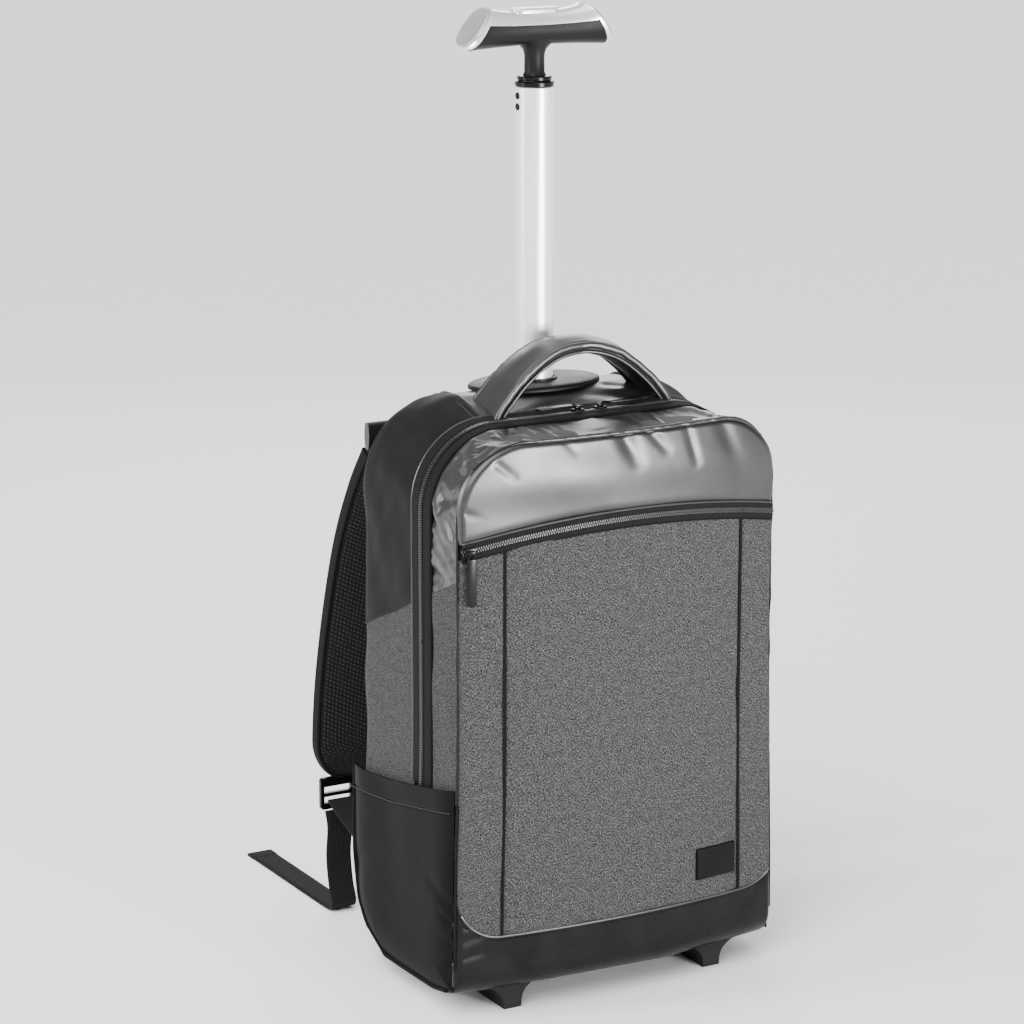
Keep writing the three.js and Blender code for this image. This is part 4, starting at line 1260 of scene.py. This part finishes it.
def build_tail(name, side):
    """Free webbing end: down from the ladder lock to the floor, then flat along it, with a folded hem."""
    path = smooth_path(in_metres(TAIL_ROUTE, side * WEB_X), 0.003)
    n = len(path)
    length = float(np.sum(np.linalg.norm(np.diff(path, axis=0), axis=-1)))
    hem = np.arange(n) * 0.003 > length - 0.013
    sections = [rounded(0.025, 0.0030 if h else 0.0017, 0.0007, 3) for h in hem]
    up = unit(np.cross(np.array([1.0, 0, 0]), unit(np.gradient(path, axis=0))))
    tail = sweep(f"webbing_tail_{name}", path, -up, np.array(sections), WEBBING)
    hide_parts(f"strap_tail_{name}")
    dress(tail, f"strap_{name}")


# ---------------------------------------------------------------- mast and grip
def build_mast():
    low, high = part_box("mast_tube")
    r, wall_t, b = MAST_R, 0.0016, 0.0006
    rings = [(r - wall_t, low.z), (r - b, low.z), (r, low.z + b), (r, high.z - b), (r - b, high.z),
             (r - wall_t, high.z), (r - wall_t, low.z)]
    tube = lathe("mast_tube_drawn", rings, SILVER, sides=96)
    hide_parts("mast_tube")
    dress(tube, "mast")
    low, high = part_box("mast_outer_tube")
    inner, outer = MAST_BORE_R, high.x
    rings = [(inner, low.z), (outer, low.z), (outer, high.z), (inner, high.z), (inner, low.z)]
    tube = lathe("mast_outer_drawn", rings, SILVER, sides=64)
    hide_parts("mast_outer_tube")
    dress(tube, "bag")
    z = MAST_TOP_Z
    rings = [(0.004, z + 0.0003), (0.0160, z + 0.0003), (0.0167, z + 0.0010), (0.0167, z + 0.0040),
             (0.0160, z + 0.0047), (0.0140, z + 0.0050), (0.0138, z + 0.0056), (0.0148, z + 0.0062),
             (0.0148, z + 0.0084), (0.0140, z + 0.0092), (0.004, z + 0.0092), (0.004, z + 0.0003)]
    cap = lathe("mast_cap_rings", rings, GLOSS, sides=80)
    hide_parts("mast_cap")
    dress(cap, "mast")
    for node in ("mast_plug_upper", "mast_plug_lower"):
        low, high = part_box(node)
        at = (0, (low.y + high.y) / 2, (low.z + high.z) / 2)
        rp = (high.y - low.y) / 2
        rings = [(0.0004, low.x - 0.0002), (rp * 0.5, low.x), (rp * 0.85, low.x + 0.0004),
                 (rp, low.x + 0.0010),
                 (rp, high.x + 0.0006), (0.0004, high.x + 0.0006)]
        plug = lathe(f"{node}_button", rings, GLOSS, axis="X", at=at, sides=32)
        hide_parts(node)
        dress(plug, "mast")
    build_collar()


def build_collar():
    """Oval plate round the mast, domed, with a raised throat."""
    low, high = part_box("mast_collar")
    a, b = (high.x - low.x) / 2, (high.y - low.y) / 2
    z0, h = low.z - 0.0012, high.z - low.z + 0.0012
    sides = 96
    verts, faces = [], []
    steps = [(1.0, 0.0), (1.0, 0.35), (0.985, 0.55), (0.95, 0.70), (0.85, 0.84), (0.7, 0.95), (0.5, 1.0)]
    throat = MAST_BORE_R
    for f, q in steps:
        for i in range(sides):
            t = 2 * math.pi * i / sides
            verts.append((a * f * math.cos(t), b * f * math.sin(t), z0 + h * q))
    for radius, z in ((throat + 0.0022, z0 + h * 1.0), (throat + 0.0020, z0 + h + 0.0016),
                      (throat, z0 + h + 0.0016), (throat, z0)):
        for i in range(sides):
            t = 2 * math.pi * i / sides
            verts.append((radius * math.cos(t), radius * math.sin(t), z))
    n = len(steps) + 4
    for j in range(n):
        k = (j + 1) % n
        for i in range(sides):
            i2 = (i + 1) % sides
            faces.append((j * sides + i, j * sides + i2, k * sides + i2, k * sides + i))
    collar = new_mesh("collar_plate", verts, faces, PLASTIC, angle=35)
    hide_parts("mast_collar")
    dress(collar, "bag")


GRIP_LEAN = 0.75
GRIP_END = 0.0702


def grip_point(t, angle, grow=0.0):
    """Point on the T-grip: t from -1 to 1 along it, angle round it from +Y over the top."""
    s = np.abs(t)
    low_z = 0.803 - 0.0025 * s ** 2
    top_z = 0.825 + 0.006 * s ** 2
    depth = 0.013 + 0.004 * s ** 2 + grow
    c, q = np.cos(angle), np.sin(angle)
    c = np.sign(c) * np.abs(c) ** 0.8
    q = np.sign(q) * np.abs(q) ** 0.8
    half = (top_z - low_z) / 2 + grow
    rise = half * (1 + q) - grow
    x = t * GRIP_END - np.sign(t) * GRIP_LEAN * s ** 2 * rise
    return np.stack([x, depth * c, low_z + rise], -1)


def grip_band(name, t0, t1, a0, a1, thick, material, rows=48, cols=60, grow=0.0):
    t = np.linspace(t0, t1, cols)
    a = np.linspace(a0, a1, rows)[:, None]
    P = grip_point(t + 0 * a, a + 0 * t, grow)
    return cloth(name, P, thick, material, centre=np.array([0, 0, 0.8145]), flip=False)


def build_grip():
    """Silver upper shell with rims, black lower insert running into the neck, grey ends and the button."""
    d = math.radians
    shell = grip_band("grip_shell_cover", -1, 1, d(9), d(171), 0.0022, SATIN, 56, 80)
    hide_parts("grip_shell")
    dress(shell, "mast")
    lower = grip_band("grip_lower_insert", -0.93, 0.93, d(172), d(368), 0.004, PLASTIC, 48, 80, -0.0003)
    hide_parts("grip_insert")
    dress(lower, "mast")
    for name, side in (("left", -1), ("right", 1)):
        a, b = (0.932, 1.0) if side > 0 else (-1.0, -0.932)
        rim = grip_band(f"grip_rim_{name}", a, b, d(171), d(369), 0.003, SATIN, 48, 8)
        dress(rim, "mast")
        build_grip_end(name, side)
    z0 = MAST_TOP_Z + 0.0094
    rings = [(0.004, z0), (0.0100, z0), (0.0096, z0 + 0.0010), (0.0087, z0 + 0.0026), (0.0086, z0 + 0.014),
             (0.0088, z0 + 0.018), (0.0096, z0 + 0.022), (0.0112, z0 + 0.0255), (0.0140, z0 + 0.0285),
             (0.0150, z0 + 0.0300), (0.004, z0 + 0.0305), (0.004, z0)]
    neck = lathe("grip_neck", rings, PLASTIC, sides=64)
    flare_neck(neck)
    dress(neck, "mast")
    build_button()


def flare_neck(neck):
    """Widens the neck's top along the grip, so that it runs into the insert in a fillet."""
    for v in neck.data.vertices:
        rise = max(0.0, (v.co.z - 0.792) / 0.012)
        v.co.x *= 1 + 0.75 * min(1.0, rise) ** 2
        v.co.y *= 1 - 0.16 * min(1.0, rise) ** 2


def build_grip_end(name, side):
    """Oval end face set just inside its rim."""
    angles = np.linspace(0, 2 * math.pi, 72, endpoint=False)
    rings = []
    outer = grip_point(np.full_like(angles, side * 1.0), angles)
    middle = outer.mean(0)
    out = np.array([side * 1.0, 0, side * side * GRIP_LEAN])
    out = out / np.linalg.norm(out)
    for f, push in ((0.97, -0.004), (1.0, 0.0), (1.0, 0.0010), (0.97, 0.0020), (0.90, 0.0024), (0.86, 0.0019),
                    (0.6, 0.0024), (0.25, 0.0027)):
        rings.append(middle + (outer - middle) * f + out * push)
    m = len(angles)
    verts = np.concatenate(rings)
    faces = []
    for j in range(len(rings) - 1):
        for i in range(m):
            faces.append((j * m + i, j * m + (i + 1) % m, (j + 1) * m + (i + 1) % m, (j + 1) * m + i))
    faces.append(tuple((len(rings) - 1) * m + i for i in range(m)))
    faces.append(tuple(i for i in range(m))[::-1])
    end = new_mesh(f"grip_end_{name}", verts, faces, SATIN_GREY, angle=50)
    if side < 0:
        end.data.flip_normals()
    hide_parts(f"grip_cap_{name}")
    dress(end, "mast")


def build_button():
    low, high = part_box("release_button")
    half, deep = (high.x - low.x) / 2, (high.y - low.y) / 2
    verts, faces = [], []
    sides = 72
    for f, z in ((0.97, 0.0), (1.0, 0.002), (1.0, high.z - low.z - 0.0006), (0.985, high.z - low.z + 0.0003),
                 (0.95, high.z - low.z + 0.0008), (0.85, high.z - low.z + 0.0012)):
        for i in range(sides):
            a = 2 * math.pi * i / sides
            c, s = math.cos(a), math.sin(a)
            x = (half - deep) * (1 if c > 0 else -1) + deep * f * c if abs(c) > 1e-9 else 0.0
            verts.append((x, deep * f * s, low.z + z))
    n = 6
    for j in range(n - 1):
        for i in range(sides):
            i2 = (i + 1) % sides
            faces.append((j * sides + i, j * sides + i2, (j + 1) * sides + i2, (j + 1) * sides + i))
    faces.append(tuple(range(sides))[::-1])
    faces.append(tuple((n - 1) * sides + i for i in range(sides)))
    button = new_mesh("release_button_cap", verts, faces, SATIN, angle=50)
    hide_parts("release_button")
    dress(button, "release_button")


# ---------------------------------------------------------------- wheels, feet, small hardware
def build_wheels():
    for name in ("left", "right"):
        low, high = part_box(f"tyre_{name}")
        at = ((low.x + high.x) / 2, (low.y + high.y) / 2, (low.z + high.z) / 2)
        w, r = (high.x - low.x) / 2, (high.z - low.z) / 2
        tread = [(0.0232, -w + 0.002), (0.0242, -w), (0.0262, -w), (0.0285, -w + 0.0008), (r, -w + 0.004)]
        tread += [(r - 0.0006, -w + 0.0082), (r, -w + 0.0086), (r, w - 0.0086), (r - 0.0006, w - 0.0082)]
        tread += [(q, -h) for q, h in reversed(tread[:5])]
        tyre = lathe(f"tyre_moulded_{name}", tread + tread[:1], TYRE, axis="X", at=at, sides=96)
        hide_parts(f"tyre_{name}")
        dress(tyre, f"wheel_{name}")
        half = [(0.0044, -w), (0.0085, -w), (0.0093, -w + 0.0008), (0.0093, -w + 0.0040),
                (0.0110, -w + 0.0052), (0.0190, -w + 0.0046), (0.0205, -w + 0.0016), (0.0228, -w + 0.0014)]
        rings = half + [(q, -h) for q, h in reversed(half)]
        hub = lathe(f"hub_moulded_{name}", rings + rings[:1], PLASTIC, axis="X", at=at, sides=72)
        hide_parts(f"wheel_hub_{name}")
        dress(hub, f"wheel_{name}")


def box_mesh(name, low, high, bevel, material, segments=3):
    """Block with rounded edges."""
    (x0, y0, z0), (x1, y1, z1) = low, high
    verts = [(x, y, z) for x in (x0, x1) for y in (y0, y1) for z in (z0, z1)]
    faces = [(0, 1, 3, 2), (4, 6, 7, 5), (0, 4, 5, 1), (2, 3, 7, 6), (0, 2, 6, 4), (1, 5, 7, 3)]
    obj = new_mesh(name, verts, faces, material)
    round_edges(obj, bevel, segments)
    return obj


def round_edges(obj, width, segments=3):
    mod = obj.modifiers.new("round", "BEVEL")
    mod.width = width
    mod.segments = segments
    mod.limit_method = "ANGLE"
    mod.angle_limit = math.radians(30)
    apply_modifiers(obj)


def apply_modifiers(obj):
    dg = bpy.context.evaluated_depsgraph_get()
    mesh = bpy.data.meshes.new_from_object(obj.evaluated_get(dg))
    obj.modifiers.clear()
    obj.data = mesh
    mesh.polygons.foreach_set("use_smooth", [True] * len(mesh.polygons))
    mesh.set_sharp_from_angle(angle=math.radians(40))


def build_feet():
    for name in ("left", "right"):
        node = f"foot_{name}"
        low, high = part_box(node)
        cx = (low.x + high.x) / 2
        h = high.z - low.z + 0.003
        steps = 10
        side = [(0.0085 + 0.0175 * (i / steps) ** 2.6, h * (1 - (1 - i / steps) ** 1.3) if i else 0.0)
                for i in range(steps + 1)]
        outline = [(cx + x, low.z + z) for x, z in side] + [(cx - x, low.z + z) for x, z in reversed(side)]
        m = len(outline)
        front = low.y - 0.018
        verts = [(x, front, z) for x, z in outline] + [(x, high.y, z) for x, z in outline]
        faces = [(i, (i + 1) % m, (i + 1) % m + m, i + m) for i in range(m)]
        faces += [tuple(range(m))[::-1], tuple(i + m for i in range(m))]
        foot = new_mesh(f"foot_moulded_{name}", verts, [f[::-1] for f in faces], PLASTIC, angle=30)
        round_edges(foot, 0.0010)
        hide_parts(node)
        dress(foot, "bag")


def slider_body(name, at, along, up, body, node):
    """Zip slider: a waisted body with a bridge for the puller."""
    along, up = np.array(along, float), np.array(up, float)
    side = np.cross(up, along)
    pieces = []
    plate, bridge = ((0.0094, 0.0076, 0.0016), 0.0010), ((0.0062, 0.0030, 0.0030), 0.0030)
    for k, (size, centre) in enumerate((plate, bridge)):
        half = np.array(size) / 2
        b = box_mesh(f"{name}_{k}", -half, half, 0.0007, GLOSS)
        basis = Matrix((along, side, up)).transposed().to_4x4()
        b.data.transform(Matrix.Translation(Vector(at) + Vector(up) * centre) @ basis)
        pieces.append(b)
    obj = join(name, pieces)
    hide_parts(node)
    return dress(obj, body)


def puller(name, at, along, up, length, body, node):
    """Zip puller: a ring and a slim moulded tab."""
    along, up = np.array(along, float), np.array(up, float)
    side = np.cross(up, along)
    basis = Matrix((along, side, up)).transposed().to_4x4()
    outline = []
    for i in range(13):
        a = math.radians(-90 + 180 * i / 12)
        outline.append((length - 0.0035 + 0.0035 * math.cos(a), 0.0040 * math.sin(a)))
    outline += [(0.008, 0.0040), (0.005, 0.0030), (0.005, -0.0030), (0.008, -0.0040)]
    m = len(outline)
    verts = [(x, y, -0.0011) for x, y in outline] + [(x, y, 0.0011) for x, y in outline]
    faces = [(i, (i + 1) % m, (i + 1) % m + m, i + m) for i in range(m)]
    faces += [tuple(range(m))[::-1], tuple(i + m for i in range(m))]
    tab = new_mesh(f"{name}_tab", verts, faces, GLOSS, angle=30)
    round_edges(tab, 0.0006)
    loop = [(0.0048 + 0.0042 * math.cos(a), 0.0026 * math.sin(a), 0)
            for a in np.linspace(0, 2 * math.pi, 24, endpoint=False)]
    ring = sweep(f"{name}_ring", loop, (0, 0, 1), circle(0.0007, 8), GLOSS, closed=True)
    obj = join(name, [tab, ring])
    obj.data.transform(Matrix.Translation(Vector(at)) @ basis)
    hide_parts(node)
    return dress(obj, body)


def build_zip_pulls():
    for name, way in (("left", -1), ("right", 1)):
        low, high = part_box(f"zip_slider_{name}")
        at = ((low.x + high.x) / 2, (low.y + high.y) / 2, low.z - 0.0022)
        slider = f"zip_slider_{name}"
        slider_body(f"main_slider_{name}", at, (1, 0, 0), (0, 0, 1), slider, slider)
        start = (at[0] + way * 0.001, at[1], at[2] + 0.0048)
        tab = f"zip_puller_{name}"
        puller(f"main_puller_{name}", start, (way, 0, 0), (0, 0, 1), 0.040, tab, tab)
    joints = {j["name"]: j for j in frame["joints"]}
    axis = np.array(joints["pocket_puller_lift"]["axis"])
    along = -axis
    low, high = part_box("pocket_zip_slider")
    centre = np.array((low + high) / 2)
    out = unit(np.cross(along, np.array([0.0, 0.0, 1.0])))
    slider_body("pocket_slider_body", centre - out * 0.0016, along, out, "pocket_slider", "pocket_zip_slider")
    down = unit(np.array([0.0, 0.0, -1.0]) - out * np.dot([0, 0, -1.0], out))
    start = centre + out * 0.0014
    puller("pocket_puller_tab", start, down, out, 0.046, "pocket_puller", "pocket_zip_puller")


def build_label():
    """Blank raised patch with rounded edges."""
    low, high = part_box("label_patch")
    cx, half = (low.x + high.x) / 2, (high.x - low.x) / 2
    yaw = math.asin(cx / BOW_R)
    patch = box_mesh("label_plate", (-half, -0.0030, low.z), (half, 0.0006, high.z), 0.0010, PATCH, 4)
    shift = Matrix.Translation((cx * 1.02, FRONT_Y + float(bow(np.array(cx))), 0))
    place = shift @ Matrix.Rotation(yaw, 4, "Z")
    patch.data.transform(place)
    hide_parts("label_patch")
    dress(patch, "bag")


def punch(obj, radius):
    """Opens a round hole where the mast passes through a sheet."""
    faces = [f.index for f in obj.data.polygons if math.hypot(f.center.x, f.center.y) < radius]
    keep = bmesh.new()
    keep.from_mesh(obj.data)
    keep.faces.ensure_lookup_table()
    bmesh.ops.delete(keep, geom=[keep.faces[i] for i in faces], context="FACES")
    keep.to_mesh(obj.data)
    keep.free()


def build_inside():
    """Lining of the fixed part and of the front section, seen when it is folded open."""
    for side in (-1, 1):
        name = "left" if side < 0 else "right"
        P = wall_patch(const(ZIP_Y + 0.002), const(BACK_Y - 0.010), lambda y: 0.030 - shoulder_z(y),
                       top_run, 60, 16, side)
        P = P - outward(P) * 0.0044
        lining = cloth(f"lining_{name}", P, 0.0008, LINING)
        punch(lining, MAST_R + 0.007)
        dress(lining, "bag")
        P = wall_patch(lambda r: seam_y(r) + 0.002, const(ZIP_Y - 0.002), lambda y: 0.030 - shoulder_z(y),
                       top_run, 90, 12, side)
        P = P - outward(P) * 0.0036
        dress(cloth(f"flap_lining_{name}", P, 0.0008, LINING), "bag", "flap")
    P = front_patch(lambda x: 0.0 * x + 0.034, lambda x: 0.0 * x + FRONT_TOP_Z - 0.004, 80, 40, -0.975, 0.975)
    P = P + np.array([0, 0.0115, 0])
    dress(cloth("flap_inner_wall", P, 0.0012, LINING), "bag", "flap")


def paint_cad_nodes():
    """Better materials on the CAD nodes that stay."""
    looks = {
        BOARD: ("frame_board", "base_board"),
        LINING: ("laptop_sleeve",),
        PLASTIC: ("wheel_base", "mast_foot_block"),
        STEEL: ("axle_left", "axle_right", "release_rod"),
        GLOSS: ("ladder_lock_left", "ladder_lock_right"),
        COARSE: ("strap_tab_left", "strap_tab_right"),
    }
    for material, names in looks.items():
        for name in names:
            obj = frame["nodes"][name]
            obj.data.materials.clear()
            obj.data.materials.append(material)


# ---------------------------------------------------------------- camera, light and floor
FLOOR_REACH = 200


def build_stage():
    azimuth, elevation = math.radians(29.45), math.radians(13.75)
    forward = Vector((math.sin(azimuth) * math.cos(elevation), math.cos(azimuth) * math.cos(elevation),
                      -math.sin(elevation)))
    target = Vector((-0.0545, -0.058, 0.4116))
    camera = bpy.data.objects.new("camera", bpy.data.cameras.new("camera"))
    bpy.context.scene.collection.objects.link(camera)
    camera.location = target - forward * 2.930
    turn = forward.to_track_quat("-Z", "Y").to_matrix().to_4x4()
    camera.matrix_world = Matrix.Translation(camera.location) @ turn
    camera.data.lens = 121.3
    camera.data.sensor_width = 36.0
    camera.data.clip_end = 500
    bpy.context.scene.camera = camera

    r = FLOOR_REACH
    corners = [(-r, -r, 0), (r, -r, 0), (r, r, 0), (-r, r, 0)]
    floor = new_mesh("floor", corners, [(0, 1, 2, 3)], None, smooth=False)
    paper = Look("paper", (0.95, 0.95, 0.95), 0.9, spec=0.1)
    floor.data.materials.append(paper.mat)
    floor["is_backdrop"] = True

    world = bpy.data.worlds.new("studio")
    world.use_nodes = True
    world.node_tree.nodes["Background"].inputs["Color"].default_value = (1, 1, 1, 1)
    world.node_tree.nodes["Background"].inputs["Strength"].default_value = 0.45
    bpy.context.scene.world = world
    sun("key", (-0.66, -0.50, 0.80), 3.0, 38)
    sun("top", (-0.10, 0.10, 1.0), 1.8, 60)
    softbox("front_box", (0.62, -2.30, 0.42), (-0.04, -0.15, 0.42), 0.74, 0.66, 10, 50)
    softbox("left_strip", (-2.3, 0.5, 1.2), (-0.15, -0.1, 0.45), 0.5, 1.4, 24)
    softbox("back_box", (1.35, 2.55, 1.45), (0.0, 0.0, 0.62), 1.9, 1.1, 17)


def sun(name, direction, power, spread):
    """Distant soft light, coming from a direction."""
    data = bpy.data.lights.new(name, "SUN")
    data.energy = power
    data.angle = math.radians(spread)
    obj = bpy.data.objects.new(name, data)
    obj.rotation_euler = (-Vector(direction)).to_track_quat("-Z", "Y").to_euler()
    bpy.context.scene.collection.objects.link(obj)


def softbox(name, at, to, width, height, power, spread=120):
    data = bpy.data.lights.new(name, "AREA")
    data.shape = "RECTANGLE"
    data.size = width
    data.size_y = height
    data.spread = math.radians(spread)
    data.energy = power
    obj = bpy.data.objects.new(name, data)
    obj.location = at
    obj.rotation_euler = (Vector(to) - Vector(at)).to_track_quat("-Z", "Y").to_euler()
    bpy.context.scene.collection.objects.link(obj)


build_stage()
for strap_name, strap_side in (("left", -1), ("right", 1)):
    build_strap(strap_name, strap_side)
build_front()
build_gusset()
build_sides()
build_top()
build_main_zip()
build_back()
build_bottom()
build_side_pockets()
build_handle()
build_mast()
build_grip()
build_wheels()
build_feet()
build_zip_pulls()
build_label()
build_inside()
paint_cad_nodes()

low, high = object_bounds()
{"cad": [list(cad_low), list(cad_high)], "visual": [list(low), list(high)]}
